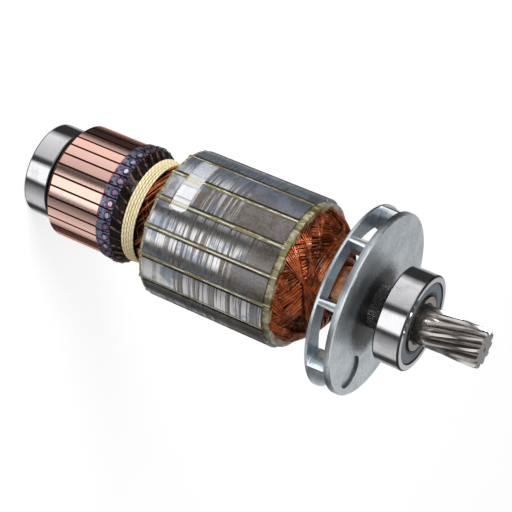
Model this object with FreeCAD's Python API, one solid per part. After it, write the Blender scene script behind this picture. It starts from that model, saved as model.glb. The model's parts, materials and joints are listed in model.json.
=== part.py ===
"""Wound armature of a universal motor, standing on its rear bearing, axis along +Z, millimetres.

The origin is the centre of the rear bearing's outward face. From there upward the shaft carries the
rear ball bearing, the commutator, the corded coil leads, the slotted lamination stack with its
windings, the cast cooling fan, the front ball bearing and the helical pinion cut into the shaft end.
"""
import FreeCAD, Part
import math
import os

from FreeCAD import Vector

# Ball bearings: both are the deep-groove size of 12 mm bore, 28 mm outside and 8 mm width
BEARING_BORE_R = 6.0
BEARING_OUTER_R = 14.0
BEARING_W = 8.0
BEARING_CORNER_R = 0.6
CORNER_SHARE_OF_WALL = 0.33
INNER_RING_R = 8.26
INNER_RING_CORNER_R = 0.35
OUTER_SHOULDER_R = 11.7
BALL_R = 2.381
BALL_COUNT = 8
BALL_RUNNING_GAP = 0.04
CAGE_T = 1.5
CAGE_W = 5.3
CAGE_POCKET_GAP = 0.07
SEAL_OUTER_R = 12.13
SEAL_T = 0.8
SEAL_RECESS = 0.3
SEAL_LIP_GAP = 0.08

# Shaft
SHAFT_CORE_R = 6.6
SHAFT_END_RECESS = 0.4
SHAFT_END_CHAMFER = 0.5
KNURL_COUNT = 72
KNURL_DEPTH = 0.25
NECK_L = 0.8
NECK_R = 5.2

# Pinion cut into the front end of the shaft
PINION_TIP_R = 5.6
PINION_ROOT_R = 4.25
PINION_L = 17.8
PINION_TEETH = 11
PINION_TWIST_PER_MM = -3.0
PINION_FIRST_GAP_DEG = 220.7
PINION_GAP_MOUTH_SHARE = 0.76
PINION_GAP_FLOOR_SHARE = 0.34
PINION_RUNOUT_L = 3.4
PINION_PLAIN_L = 0.9
PINION_END_CHAMFER = 0.35
CENTRE_HOLE_R = 0.55
CENTRE_HOLE_DEPTH = 1.6

# Commutator
HUB_STANDOFF = 1.5
HUB_BOSS_R = 8.0
HUB_RIM_W = 1.2
HUB_RIM_BELOW_BARS = 1.6
BAR_COUNT = 32
BAR_FIRST_DEG = 180.4
BAR_OUTER_R = 17.2
BAR_DEPTH = 3.8
BAR_TRACK_L = 17.9
BAR_END_CHAMFER = 0.5
RISER_ABOVE_BARS = 0.5
RISER_L = 4.4
MICA_T = 0.5
MICA_UNDERCUT = 0.6
WIRE_END_R = 0.85
WIRE_END_RISE = 0.3
WIRE_END_SEAT = 0.5
WIRE_END_FROM_RISER_START = 3.0

# Coil leads between commutator and stack, and the cord wound over them
LEAD_TAPER_L = 3.0
LEAD_R = 0.38
LEAD_ROOT_BELOW_RISER = 0.8
LEAD_SLANT_DEG = 7.0
CORD_TURNS = 5
CORD_PITCH = 0.75
CORD_REAR_BELOW_RISER = 1.8
CORD_TAPER_H = 0.5
CORD_SEAT_DEPTH = 0.9
CORD_GROOVE_DEPTH = 0.24
CORD_CREST_STEPS = 4

# Lamination stack
STACK_R = 22.3
STACK_L = 39.2
SLOT_COUNT = 16
SLOT_FIRST_DEG = 181.7
SLOT_MOUTH_W = 1.5
SLOT_LIP_T = 0.8
SLOT_TOP_W = 4.6
SLOT_BOTTOM_W = 1.9
SLOT_BOTTOM_R = 13.0
SLOT_CORNER_H = 0.7
SLOT_FLOOR_SHARE = 0.4
SLOT_LIP_SLOPE_H = 0.25
END_FIBRE_REAR_T = 0.8
END_FIBRE_REAR_INSET = 0.2
END_FIBRE_FRONT_T = 1.8
END_FIBRE_FRONT_INSET = 1.0

# Milled balance cut across the stack teeth
BALANCE_CUT_DEG = 229.0
BALANCE_CUT_SPAN_DEG = 52.0
BALANCE_CUT_DEPTH = 1.0
BALANCE_CUT_W = 5.2
BALANCE_CUT_FROM_REAR = 3.8

# Slot insulation and coils
LINER_T = 0.25
WEDGE_T = 0.9
WEDGE_RIB_BELOW_SURFACE = 0.15
WEDGE_OVERHANG = 0.5
WEDGE_CROWN_H = 0.3
FIT_GAP = 0.02

# Winding heads
REAR_HEAD_L = 6.95
REAR_HEAD_BELOW_CORD = 0.7
REAR_HEAD_FRONT_R = 19.2
FRONT_HEAD_L = 11.0
FRONT_HEAD_BASE_R = 20.3
FRONT_HEAD_SHOULDER_R = 18.9
FRONT_HEAD_WAIST_R = 15.0
FRONT_HEAD_NOSE_R = 10.8
FRONT_HEAD_TIP_R = 8.6
HEAD_BUNDLES = 16
HEAD_BUNDLE_H = 1.1
HEAD_LEAN_DEG = 52.0
HEAD_BACK_LEAN_DEG = -30.0
HEAD_STEPS_PER_BUNDLE = 6
HEAD_SECTIONS = 12

# Insulating sleeve on the shaft under the stack and the heads
SLEEVE_R = 7.2
SLEEVE_PAST_HEAD = 6.5

# Cooling fan
FAN_R = 26.8
FAN_FROM_STACK = 16.2
FAN_RING_T = 1.0
FAN_RING_W = 6.3
FAN_CHANNEL_W = 5.1
FAN_DISC_T = 1.8
FAN_RIM_CHAMFER = 0.35
FAN_HUB_R = 11.0
FAN_BLADE_ANGLES = (190.0, 230.0, 272.0, 317.5, 7.0, 56.0, 103.0, 148.0)
FAN_BLADE_TIP_T = 1.7
FAN_BLADE_BELLY_T = 2.3
FAN_BLADE_BELLY_FROM_RIM = 2.6
FAN_BLADE_ROOT_T = 0.9
FAN_BLADE_ROOT_PAST_RING = 0.4
FAN_BLADE_TIP_CHAMFER = 0.42
FAN_BLADE_DRAFT = 0.35
FAN_TO_BEARING = 5.6
SPOT_DEG = 350.5
SPOT_FROM_RIM = 7.0
SPOT_R = 4.9
SPOT_DEPTH = 0.8

# Places along the axis, each from the one before
Z_HUB = BEARING_W + HUB_STANDOFF
Z_BARS = Z_HUB + HUB_RIM_W
Z_RISER = Z_BARS + BAR_TRACK_L
Z_LEADS = Z_RISER + RISER_L
Z_CORD = Z_LEADS + LEAD_TAPER_L
CORD_W = CORD_TURNS * CORD_PITCH
Z_REAR_HEAD = Z_CORD + CORD_W
Z_REAR_FIBRE = Z_REAR_HEAD + REAR_HEAD_L
Z_STACK = Z_REAR_FIBRE + END_FIBRE_REAR_T
Z_FRONT_FIBRE = Z_STACK + STACK_L
Z_FRONT_HEAD = Z_FRONT_FIBRE + END_FIBRE_FRONT_T
Z_HEAD_TIP = Z_FRONT_HEAD + FRONT_HEAD_L
Z_FAN_HUB = Z_HEAD_TIP + SLEEVE_PAST_HEAD
Z_FAN_RING = Z_FRONT_FIBRE + FAN_FROM_STACK
Z_FAN_CHANNEL = Z_FAN_RING + FAN_RING_T
Z_FAN_DISC = Z_FAN_CHANNEL + FAN_CHANNEL_W
Z_FAN_FACE = Z_FAN_DISC + FAN_DISC_T
Z_FRONT_BEARING = Z_FAN_FACE + FAN_TO_BEARING
Z_NECK = Z_FRONT_BEARING + BEARING_W
Z_PINION = Z_NECK + NECK_L
Z_TIP = Z_PINION + PINION_L

# Radii, each from the one that carries it
PITCH_R = (INNER_RING_R + OUTER_SHOULDER_R) / 2
BAR_INNER_R = BAR_OUTER_R - BAR_DEPTH
HUB_RIM_R = BAR_OUTER_R - HUB_RIM_BELOW_BARS
RISER_R = BAR_OUTER_R + RISER_ABOVE_BARS
CORD_REAR_R = RISER_R - CORD_REAR_BELOW_RISER
CORD_FRONT_R = CORD_REAR_R - CORD_TAPER_H
REAR_HEAD_REAR_R = CORD_FRONT_R - REAR_HEAD_BELOW_CORD
SLOT_LIP_R = STACK_R - SLOT_LIP_T
FAN_RING_INNER_R = FAN_R - FAN_RING_W
AXIS = Vector(0, 0, 1)
ORIGIN = Vector(0, 0, 0)


def polar(radius, degrees, z=0.0):
    """Point at a radius, angle and height."""
    angle = math.radians(degrees)
    return Vector(radius * math.cos(angle), radius * math.sin(angle), z)


def revolved(profile):
    """Solid of revolution about the shaft axis of a closed (radius, z) outline."""
    points = [Vector(radius, 0, z) for radius, z in profile]
    wire = Part.makePolygon(points + points[:1])
    return Part.Face(wire).revolve(ORIGIN, AXIS, 360)


def tube(inner_r, outer_r, z0, z1):
    """Plain tube between two heights."""
    return revolved([(inner_r, z0), (outer_r, z0), (outer_r, z1), (inner_r, z1)])


def disc(radius, z0, z1):
    """Solid cylinder between two heights."""
    return Part.makeCylinder(radius, z1 - z0, Vector(0, 0, z0))


def prism(outline, z0, z1):
    """Straight prism of a closed list of (x, y) corners."""
    points = [Vector(x, y, z0) for x, y in outline]
    face = Part.Face(Part.makePolygon(points + points[:1]))
    return face.extrude(Vector(0, 0, z1 - z0))


def turned(shape, degrees):
    """Copy of a shape turned about the shaft axis."""
    copy = shape.copy()
    copy.rotate(ORIGIN, AXIS, degrees)
    return copy


def around(shape, count, first_deg):
    """Evenly spaced copies of a shape about the shaft axis."""
    return [turned(shape, first_deg + index * 360 / count) for index in range(count)]


def solids_of(shape):
    """Compound of the bare solids in a shape."""
    return Part.makeCompound(shape.Solids)


def radial_boxes(count, first_deg, width, inner_r, outer_r, z0, z1):
    """Thin radial boxes centred on evenly spaced directions."""
    box = Part.makeBox(outer_r - inner_r, width, z1 - z0, Vector(inner_r, -width / 2, z0))
    return around(box, count, first_deg)


# Bearings

def rounded(shape, edge_r, corner_r):
    """Shape with its circular edges of one radius rounded."""
    edges = []
    for edge in shape.Edges:
        if isinstance(edge.Curve, Part.Circle) and abs(edge.Curve.Radius - edge_r) < 1e-6:
            edges.append(edge)
    return shape.makeFillet(corner_r, edges)


def race_groove(z_mid):
    """Torus that the balls run in, a running gap larger than a ball."""
    return Part.makeTorus(PITCH_R, BALL_R + BALL_RUNNING_GAP, Vector(0, 0, z_mid))


def inner_ring(z0):
    """Inner bearing ring with its raceway."""
    ring = tube(BEARING_BORE_R, INNER_RING_R, z0, z0 + BEARING_W)
    ring = rounded(ring, BEARING_BORE_R, INNER_RING_CORNER_R)
    ring = rounded(ring, INNER_RING_R, INNER_RING_CORNER_R)
    return ring.cut(race_groove(z0 + BEARING_W / 2))


def outer_ring(z0):
    """Outer bearing ring with its raceway and a seal seat in each face."""
    z1 = z0 + BEARING_W
    seat = SEAL_RECESS + SEAL_T
    wall = BEARING_OUTER_R - SEAL_OUTER_R
    corner_r = min(BEARING_CORNER_R, wall * CORNER_SHARE_OF_WALL)
    ring = revolved([
        (SEAL_OUTER_R, z0), (BEARING_OUTER_R, z0), (BEARING_OUTER_R, z1), (SEAL_OUTER_R, z1),
        (SEAL_OUTER_R, z1 - seat), (OUTER_SHOULDER_R, z1 - seat),
        (OUTER_SHOULDER_R, z0 + seat), (SEAL_OUTER_R, z0 + seat)])
    return rounded(ring, BEARING_OUTER_R, corner_r).cut(race_groove(z0 + BEARING_W / 2))


def seal(z0, upper):
    """Rubber seal seated in the outer ring, dished and clear of the inner ring by its lip gap."""
    lip_r = INNER_RING_R + SEAL_LIP_GAP
    if upper:
        face = z0 + BEARING_W - SEAL_RECESS
        inward = -1
    else:
        face = z0 + SEAL_RECESS
        inward = 1
    step = 0.2 * inward
    back = face + SEAL_T * inward
    return revolved([
        (lip_r, face + step), (lip_r + 0.7, face + step), (lip_r + 0.9, face),
        (SEAL_OUTER_R - 0.5, face), (SEAL_OUTER_R - 0.3, face + step), (SEAL_OUTER_R, face + step),
        (SEAL_OUTER_R, back), (lip_r, back)])


def ball_set(z0):
    """The ring of balls."""
    ball = Part.makeSphere(BALL_R, Vector(PITCH_R, 0, z0 + BEARING_W / 2))
    return Part.makeCompound(around(ball, BALL_COUNT, 0))


def cage(z0):
    """Ball cage: a ring pierced by one pocket for each ball."""
    z_mid = z0 + BEARING_W / 2
    ring = tube(PITCH_R - CAGE_T / 2, PITCH_R + CAGE_T / 2, z_mid - CAGE_W / 2, z_mid + CAGE_W / 2)
    pocket_r = BALL_R + CAGE_POCKET_GAP
    pocket = Part.makeCylinder(pocket_r, 4 * CAGE_T, Vector(PITCH_R - 2 * CAGE_T, 0, z_mid), Vector(1, 0, 0))
    return ring.cut(Part.makeCompound(around(pocket, BALL_COUNT, 0)))


def bearing_nodes(name, z0):
    """All nodes of one sealed ball bearing."""
    return {
        name + "_bearing_inner_ring": inner_ring(z0),
        name + "_bearing_outer_ring": outer_ring(z0),
        name + "_bearing_balls": ball_set(z0),
        name + "_bearing_cage": cage(z0),
        name + "_bearing_lower_seal": seal(z0, False),
        name + "_bearing_upper_seal": seal(z0, True)}


# Shaft and pinion

def knurled_length():
    """Straight-knurled stretch that the fan is pressed on, which ends as the bearing's shoulder."""
    outline = []
    for index in range(KNURL_COUNT):
        middle = index * 360 / KNURL_COUNT
        crest = polar(SHAFT_CORE_R, middle)
        valley = polar(SHAFT_CORE_R - KNURL_DEPTH, middle + 180 / KNURL_COUNT)
        outline += [(crest.x, crest.y), (valley.x, valley.y)]
    return prism(outline, Z_FAN_HUB, Z_FRONT_BEARING)


def tooth_gap_section(z, lift):
    """Outline of one gap between pinion teeth at a height, lifted outward where the gap runs out."""
    turn = PINION_FIRST_GAP_DEG + PINION_TWIST_PER_MM * (z - Z_TIP)
    mouth = 180 / PINION_TEETH * PINION_GAP_MOUTH_SHARE
    floor = 180 / PINION_TEETH * PINION_GAP_FLOOR_SHARE
    outer_r = PINION_TIP_R + 0.5
    corners = [
        polar(outer_r + lift, turn - mouth * 1.15, z), polar(PINION_TIP_R + lift, turn - mouth, z),
        polar((PINION_TIP_R + PINION_ROOT_R) / 2 + lift, turn - (mouth + floor) / 2, z),
        polar(PINION_ROOT_R + lift, turn - floor, z), polar(PINION_ROOT_R - 0.12 + lift, turn, z),
        polar(PINION_ROOT_R + lift, turn + floor, z),
        polar((PINION_TIP_R + PINION_ROOT_R) / 2 + lift, turn + (mouth + floor) / 2, z),
        polar(PINION_TIP_R + lift, turn + mouth, z), polar(outer_r + lift, turn + mouth * 1.15, z)]
    return Part.makePolygon(corners + corners[:1])


def tooth_gap():
    """Helical cutter for one tooth gap, its floor rising out of the shaft at the rear end."""
    depth = PINION_TIP_R - PINION_ROOT_R
    z_plain = Z_PINION + PINION_PLAIN_L
    sections = []
    for share in (0.0, 0.5, 1.0):
        lift = depth * (1.15 - 1.15 * math.sin(math.pi / 2 * share))
        sections.append(tooth_gap_section(z_plain + PINION_RUNOUT_L * share, lift))
    full_from = z_plain + PINION_RUNOUT_L
    full_to = Z_TIP + 0.5
    steps = 4
    for step in range(1, steps + 1):
        sections.append(tooth_gap_section(full_from + (full_to - full_from) * step / steps, 0.0))
    return Part.makeLoft(sections, True, True)


def shaft():
    """Stepped shaft with both bearing journals, the knurled fan seat and the pinion."""
    c = SHAFT_END_CHAMFER
    body = revolved([
        (0, SHAFT_END_RECESS), (BEARING_BORE_R - c, SHAFT_END_RECESS),
        (BEARING_BORE_R, SHAFT_END_RECESS + c), (BEARING_BORE_R, BEARING_W),
        (SHAFT_CORE_R, BEARING_W), (SHAFT_CORE_R, Z_FAN_HUB), (0, Z_FAN_HUB)])
    e = PINION_END_CHAMFER
    front = revolved([
        (0, Z_FRONT_BEARING), (BEARING_BORE_R, Z_FRONT_BEARING), (BEARING_BORE_R, Z_NECK),
        (NECK_R, Z_NECK), (NECK_R, Z_PINION), (PINION_TIP_R, Z_PINION),
        (PINION_TIP_R, Z_TIP - e), (PINION_TIP_R - e, Z_TIP), (0, Z_TIP)])
    gaps = Part.makeCompound(around(tooth_gap(), PINION_TEETH, 0))
    front = front.cut(gaps)
    centre = Part.makeCone(0.05, CENTRE_HOLE_R, CENTRE_HOLE_DEPTH, Vector(0, 0, Z_TIP - CENTRE_HOLE_DEPTH))
    return body.fuse([knurled_length(), front]).cut(centre).removeSplitter()


# Commutator

def bar_ring():
    """Turned copper ring that is later divided into bars: brush track and riser."""
    c = BAR_END_CHAMFER
    return revolved([
        (BAR_INNER_R, Z_BARS), (BAR_OUTER_R - c, Z_BARS), (BAR_OUTER_R, Z_BARS + c),
        (BAR_OUTER_R, Z_RISER - c), (RISER_R, Z_RISER), (RISER_R, Z_LEADS - c),
        (RISER_R - c, Z_LEADS), (BAR_INNER_R, Z_LEADS)])


def wire_ends():
    """Coil ends fused into the risers, one round head for each bar."""
    base_r = RISER_R - WIRE_END_SEAT
    z = Z_RISER + WIRE_END_FROM_RISER_START
    length = WIRE_END_SEAT + WIRE_END_RISE
    pin = Part.makeCylinder(WIRE_END_R, length, Vector(base_r, 0, z), Vector(1, 0, 0))
    return Part.makeCompound(around(pin, BAR_COUNT, BAR_FIRST_DEG))


def gap_boxes():
    """The planes between neighbouring bars."""
    return radial_boxes(BAR_COUNT, BAR_FIRST_DEG + 180 / BAR_COUNT, MICA_T, BAR_INNER_R - 1,
                        RISER_R + 1, Z_BARS - 1, Z_LEADS + 1)


def commutator_bars():
    """Copper bars with their risers, one solid for each bar."""
    cutters = Part.makeCompound(gap_boxes() + wire_ends().Solids)
    return solids_of(bar_ring().cut(cutters))


def mica_segments():
    """Insulating segments between the bars, undercut below the brush track."""
    ring = tube(BAR_INNER_R, BAR_OUTER_R - MICA_UNDERCUT, Z_BARS, Z_LEADS)
    return Part.makeCompound([ring.common(box) for box in gap_boxes()])


def commutator_moulding():
    """Moulded hub: boss against the bearing, collar behind the bars and core under them."""
    return revolved([
        (SHAFT_CORE_R, BEARING_W), (HUB_BOSS_R, BEARING_W), (HUB_BOSS_R, Z_HUB), (HUB_RIM_R, Z_HUB),
        (HUB_RIM_R, Z_BARS), (BAR_INNER_R, Z_BARS), (BAR_INNER_R, Z_LEADS), (SHAFT_CORE_R, Z_LEADS)])


# Coil leads and cord

def lead_radius(z):
    """Radius of the outside of the lead wires between riser and cord."""
    start = RISER_R - LEAD_ROOT_BELOW_RISER
    end = CORD_REAR_R - CORD_SEAT_DEPTH
    return start + (end - start) * (z - Z_LEADS) / LEAD_TAPER_L


def coil_leads():
    """One straight lead from each riser in to the cord, all leaning the same way."""
    start = polar(lead_radius(Z_LEADS), 0, Z_LEADS)
    end = polar(lead_radius(Z_CORD), LEAD_SLANT_DEG, Z_CORD)
    run = end - start
    lead = Part.makeCylinder(LEAD_R, run.Length * 1.4, start - run * 0.2, run)
    between = tube(BAR_INNER_R, STACK_R, Z_LEADS, Z_CORD)
    return Part.makeCompound(around(lead.common(between), BAR_COUNT, BAR_FIRST_DEG))


def resin_collar():
    """Hardened black resin that holds the leads from the risers to beyond the cord."""
    seat_rear = CORD_REAR_R - CORD_SEAT_DEPTH
    seat_front = CORD_FRONT_R - CORD_SEAT_DEPTH
    collar = revolved([
        (SHAFT_CORE_R, Z_LEADS), (lead_radius(Z_LEADS), Z_LEADS), (seat_rear, Z_CORD),
        (seat_front, Z_REAR_HEAD), (SHAFT_CORE_R, Z_REAR_HEAD)])
    return collar.cut(coil_leads())


def binding_cord():
    """Cord wound side by side over the leads, as one band with a rounded crest for each turn."""
    profile = [(CORD_FRONT_R - CORD_SEAT_DEPTH, Z_REAR_HEAD), (CORD_REAR_R - CORD_SEAT_DEPTH, Z_CORD)]
    steps = CORD_CREST_STEPS * CORD_TURNS
    for step in range(steps + 1):
        share = step / steps
        drop = CORD_GROOVE_DEPTH * (1 - abs(math.sin(math.pi * CORD_TURNS * share)))
        radius = CORD_REAR_R + (CORD_FRONT_R - CORD_REAR_R) * share - drop
        profile.append((radius, Z_CORD + CORD_W * share))
    return revolved(profile)


# Lamination stack, its insulation and the coils in its slots

def slot_half_width(radius):
    """Half width of the tapering slot at a radius."""
    corner_r = SLOT_BOTTOM_R + SLOT_CORNER_H
    share = (radius - corner_r) / (SLOT_LIP_R - corner_r)
    return (SLOT_BOTTOM_W + (SLOT_TOP_W - SLOT_BOTTOM_W) * share) / 2


def slot_walls(inset, top_r):
    """Corners of the slot's walls and floor below a radius, kept an even distance inside them."""
    floor_r = SLOT_BOTTOM_R + inset
    corner_r = floor_r + SLOT_CORNER_H
    top = slot_half_width(top_r) - inset
    corner = slot_half_width(corner_r) - inset
    floor = corner * SLOT_FLOOR_SHARE
    return [(top_r, -top), (corner_r, -corner), (floor_r, -floor),
            (floor_r, floor), (corner_r, corner), (top_r, top)]


def slot_outline():
    """Semi-closed slot in a tooth gap, open at the surface, as corners along +X."""
    mouth = SLOT_MOUTH_W / 2
    throat_r = SLOT_LIP_R + SLOT_LIP_SLOPE_H
    past = STACK_R + 1
    walls = slot_walls(0.0, SLOT_LIP_R)
    return [(past, -mouth), (throat_r, -mouth)] + walls + [(throat_r, mouth), (past, mouth)]


def slot_interior(inset, top_r, z0, z1):
    """Space in a slot below a radius, kept an even distance off its walls."""
    return prism(slot_walls(inset, top_r), z0, z1)


def slotted(radius, z0, z1):
    """Disc with the slot pattern and the sleeve's bore."""
    plate = tube(SLEEVE_R, radius, z0, z1)
    slots = around(prism(slot_outline(), z0 - 1, z1 + 1), SLOT_COUNT, SLOT_FIRST_DEG)
    return plate.cut(Part.makeCompound(slots))


def balance_cutter():
    """Path of the milling cutter that took metal off the teeth: a shallow wide arc."""
    half = math.radians(BALANCE_CUT_SPAN_DEG / 2)
    floor_r = STACK_R - BALANCE_CUT_DEPTH
    edge_x = STACK_R * math.cos(half)
    edge_y = STACK_R * math.sin(half)
    centre = (edge_x ** 2 + edge_y ** 2 - floor_r ** 2) / (2 * (floor_r - edge_x))
    z0 = Z_STACK + BALANCE_CUT_FROM_REAR
    block = Part.makeBox(STACK_R, 2 * STACK_R, BALANCE_CUT_W, Vector(edge_x / 2, -STACK_R, z0))
    kept = Part.makeCylinder(floor_r + centre, BALANCE_CUT_W, Vector(-centre, 0, z0))
    return turned(block.cut(kept), BALANCE_CUT_DEG)


def lamination_stack():
    """Pressed stack of slotted sheet-steel laminations with the balance cut."""
    return slotted(STACK_R, Z_STACK, Z_FRONT_FIBRE).cut(balance_cutter())


def rear_end_fibre():
    """Thin insulating end plate at the commutator side."""
    return slotted(STACK_R - END_FIBRE_REAR_INSET, Z_REAR_FIBRE, Z_STACK)


def front_end_fibre():
    """Thick insulating end plate at the fan side, inset from the stack's edge."""
    return slotted(STACK_R - END_FIBRE_FRONT_INSET, Z_FRONT_FIBRE, Z_FRONT_HEAD)


def wedge():
    """Closing strip of one slot: a base under the tooth lips and a crowned rib in the mouth."""
    base_top = SLOT_LIP_R
    base_bottom = SLOT_LIP_R - WEDGE_T
    rib_top = STACK_R - WEDGE_RIB_BELOW_SURFACE
    rib = SLOT_MOUTH_W / 2 - FIT_GAP
    wide = slot_half_width(base_bottom) - FIT_GAP
    outline = [(base_bottom, -wide), (base_top, -wide), (base_top, -rib)]
    for step in range(-2, 3):
        lean = math.radians(45 * step)
        outline.append((rib_top - WEDGE_CROWN_H * (1 - math.cos(lean)), rib * math.sin(lean)))
    outline += [(base_top, rib), (base_top, wide), (base_bottom, wide)]
    return prism(outline, Z_REAR_FIBRE - WEDGE_OVERHANG, Z_FRONT_HEAD)


def slot_wedges():
    """All slot wedges, milled with the teeth at the balance cut."""
    strips = around(wedge(), SLOT_COUNT, SLOT_FIRST_DEG)
    inset = (END_FIBRE_FRONT_INSET - WEDGE_RIB_BELOW_SURFACE) * 0.9
    trim = tube(STACK_R - inset - WEDGE_RIB_BELOW_SURFACE, STACK_R + 1, Z_FRONT_FIBRE, Z_FRONT_HEAD + 1)
    return solids_of(Part.makeCompound(strips).cut(Part.makeCompound([balance_cutter(), trim])))


def slot_liners():
    """Insulating paper troughs between the coils and the slot walls."""
    top_r = SLOT_LIP_R - WEDGE_T
    outer = slot_interior(0.0, top_r, Z_REAR_FIBRE, Z_FRONT_HEAD)
    inner = slot_interior(LINER_T, top_r + 1, Z_REAR_FIBRE - 1, Z_FRONT_HEAD + 1)
    return Part.makeCompound(around(outer.cut(inner), SLOT_COUNT, SLOT_FIRST_DEG))


def slot_coils():
    """Wound coil sides that fill the lined slots from one winding head to the other."""
    top_r = SLOT_LIP_R - WEDGE_T
    side = slot_interior(LINER_T, top_r, Z_REAR_FIBRE, Z_FRONT_HEAD)
    return Part.makeCompound(around(side, SLOT_COUNT, SLOT_FIRST_DEG))


def bundle_height(turn_deg, share):
    """Height, from 0 to 1, of the crossing coil bundles at an angle and a share of the head's length."""
    ridges = []
    for lean in (HEAD_LEAN_DEG, HEAD_BACK_LEAN_DEG):
        across = math.radians(HEAD_BUNDLES * (turn_deg - SLOT_FIRST_DEG - lean * share) / 2)
        ridges.append(abs(math.cos(across)))
    return max(ridges[0], ridges[1] * (1 - share))


def bundled_section(z, radius, share, ridge_h):
    """Closed outline of a winding head at a height, its crests the coil bundles."""
    count = HEAD_BUNDLES * HEAD_STEPS_PER_BUNDLE
    points = []
    for index in range(count):
        turn = index * 360 / count
        points.append(polar(radius + ridge_h * (bundle_height(turn, share) - 1), turn, z))
    return Part.makePolygon(points + points[:1])


def radius_between(stations, z):
    """Radius at a height on the straight lines between (z, radius) stations."""
    for (z0, r0), (z1, r1) in zip(stations, stations[1:]):
        if z <= z1:
            return r0 + (r1 - r0) * (z - z0) / (z1 - z0)
    return stations[-1][1]


def winding_head(stations):
    """Crossing coil bundles between (z, radius) stations, bored for the sleeve."""
    z0 = stations[0][0]
    z1 = stations[-1][0]
    sections = []
    for step in range(HEAD_SECTIONS + 1):
        share = step / HEAD_SECTIONS
        z = z0 + (z1 - z0) * share
        ridge_h = HEAD_BUNDLE_H * math.sin(math.pi * (0.2 + 0.7 * share))
        sections.append(bundled_section(z, radius_between(stations, z), share, ridge_h))
    head = Part.makeLoft(sections, True, True)
    return head.cut(disc(SLEEVE_R, z0 - 1, z1 + 1))


def front_winding_head():
    """Coil ends at the fan side, drawn in to a cone toward the shaft."""
    return winding_head([
        (Z_FRONT_HEAD, FRONT_HEAD_BASE_R), (Z_FRONT_HEAD + FRONT_HEAD_L * 0.3, FRONT_HEAD_SHOULDER_R),
        (Z_FRONT_HEAD + FRONT_HEAD_L * 0.62, FRONT_HEAD_WAIST_R),
        (Z_FRONT_HEAD + FRONT_HEAD_L * 0.9, FRONT_HEAD_NOSE_R), (Z_HEAD_TIP, FRONT_HEAD_TIP_R)])


def rear_winding_head():
    """Coil ends at the commutator side, between the cord and the stack."""
    return winding_head([
        (Z_REAR_HEAD, REAR_HEAD_REAR_R),
        (Z_REAR_HEAD + REAR_HEAD_L * 0.55, (REAR_HEAD_REAR_R + REAR_HEAD_FRONT_R) / 2 + HEAD_BUNDLE_H / 2),
        (Z_REAR_FIBRE, REAR_HEAD_FRONT_R)])


def shaft_sleeve():
    """Moulded insulating sleeve on the shaft under the windings and the stack."""
    return tube(SHAFT_CORE_R, SLEEVE_R, Z_REAR_HEAD, Z_FAN_HUB)


# Fan

def blade_outline(extra):
    """Plan outline of one straight fan blade along +X, thickened evenly by an amount."""
    root = FAN_BLADE_ROOT_T / 2 + extra
    belly = FAN_BLADE_BELLY_T / 2 + extra
    tip = FAN_BLADE_TIP_T / 2 + extra
    c = FAN_BLADE_TIP_CHAMFER
    nose_r = FAN_RING_INNER_R - FAN_BLADE_ROOT_PAST_RING
    upper = [(FAN_R + c, tip - 2 * c), (FAN_R - c, tip), (FAN_R - FAN_BLADE_BELLY_FROM_RIM, belly),
             (nose_r + root, root), (nose_r, root / 2)]
    lower = [(x, -y) for x, y in reversed(upper)]
    return upper + lower


def blade():
    """One blade, thinner toward the ring by its casting draft."""
    sections = []
    for z, extra in ((Z_FAN_CHANNEL, 0.0), (Z_FAN_DISC, FAN_BLADE_DRAFT)):
        points = [Vector(x, y, z) for x, y in blade_outline(extra)]
        sections.append(Part.makePolygon(points + points[:1]))
    return Part.makeLoft(sections, True, True)


def fan():
    """Cast fan: front disc with hub, blades and the open rear ring, with a drilled balance spot."""
    c = FAN_RIM_CHAMFER
    plate = revolved([
        (SHAFT_CORE_R, Z_FAN_HUB), (FAN_HUB_R, Z_FAN_HUB), (FAN_HUB_R, Z_FAN_DISC), (FAN_R, Z_FAN_DISC),
        (FAN_R, Z_FAN_FACE - c), (FAN_R - c, Z_FAN_FACE), (SHAFT_CORE_R, Z_FAN_FACE)])
    ring = revolved([
        (FAN_RING_INNER_R, Z_FAN_RING), (FAN_R - c, Z_FAN_RING), (FAN_R, Z_FAN_RING + c),
        (FAN_R, Z_FAN_CHANNEL), (FAN_RING_INNER_R, Z_FAN_CHANNEL)])
    blades = [turned(blade(), angle) for angle in FAN_BLADE_ANGLES]
    rim = disc(FAN_R, Z_FAN_RING, Z_FAN_FACE)
    cast = plate.fuse([ring] + [item.common(rim) for item in blades])
    spot_at = polar(FAN_R - SPOT_FROM_RIM, SPOT_DEG, Z_FAN_FACE - SPOT_DEPTH)
    spot = Part.makeCylinder(SPOT_R, SPOT_DEPTH + 1, spot_at)
    return cast.cut(spot).removeSplitter()


def all_nodes():
    """Every sub-part of the armature by its node name."""
    nodes = {
        "shaft": shaft(),
        "shaft_sleeve": shaft_sleeve(),
        "commutator_moulding": commutator_moulding(),
        "commutator_bars": commutator_bars(),
        "mica_segments": mica_segments(),
        "coil_wire_ends": wire_ends(),
        "coil_leads": coil_leads(),
        "resin_collar": resin_collar(),
        "binding_cord": binding_cord(),
        "rear_winding_head": rear_winding_head(),
        "rear_end_fibre": rear_end_fibre(),
        "lamination_stack": lamination_stack(),
        "slot_liners": slot_liners(),
        "slot_coils": slot_coils(),
        "slot_wedges": slot_wedges(),
        "front_end_fibre": front_end_fibre(),
        "front_winding_head": front_winding_head(),
        "cooling_fan": fan()}
    nodes.update(bearing_nodes("rear", 0.0))
    nodes.update(bearing_nodes("front", Z_FRONT_BEARING))
    return nodes


def main():
    """Write one STEP file for each sub-part."""
    os.makedirs("parts", exist_ok=True)
    for name, shape in all_nodes().items():
        shape.exportStep(os.path.join("parts", name + ".step"))
        print(name, len(shape.Solids), "solids", shape.isValid(), round(shape.Volume, 1))


main()
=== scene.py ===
"""Dressed visual model of a wound motor armature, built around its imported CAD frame."""

import json
import logging
import math
from collections.abc import Callable
from dataclasses import dataclass
from enum import Enum
from functools import cache, reduce

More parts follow.
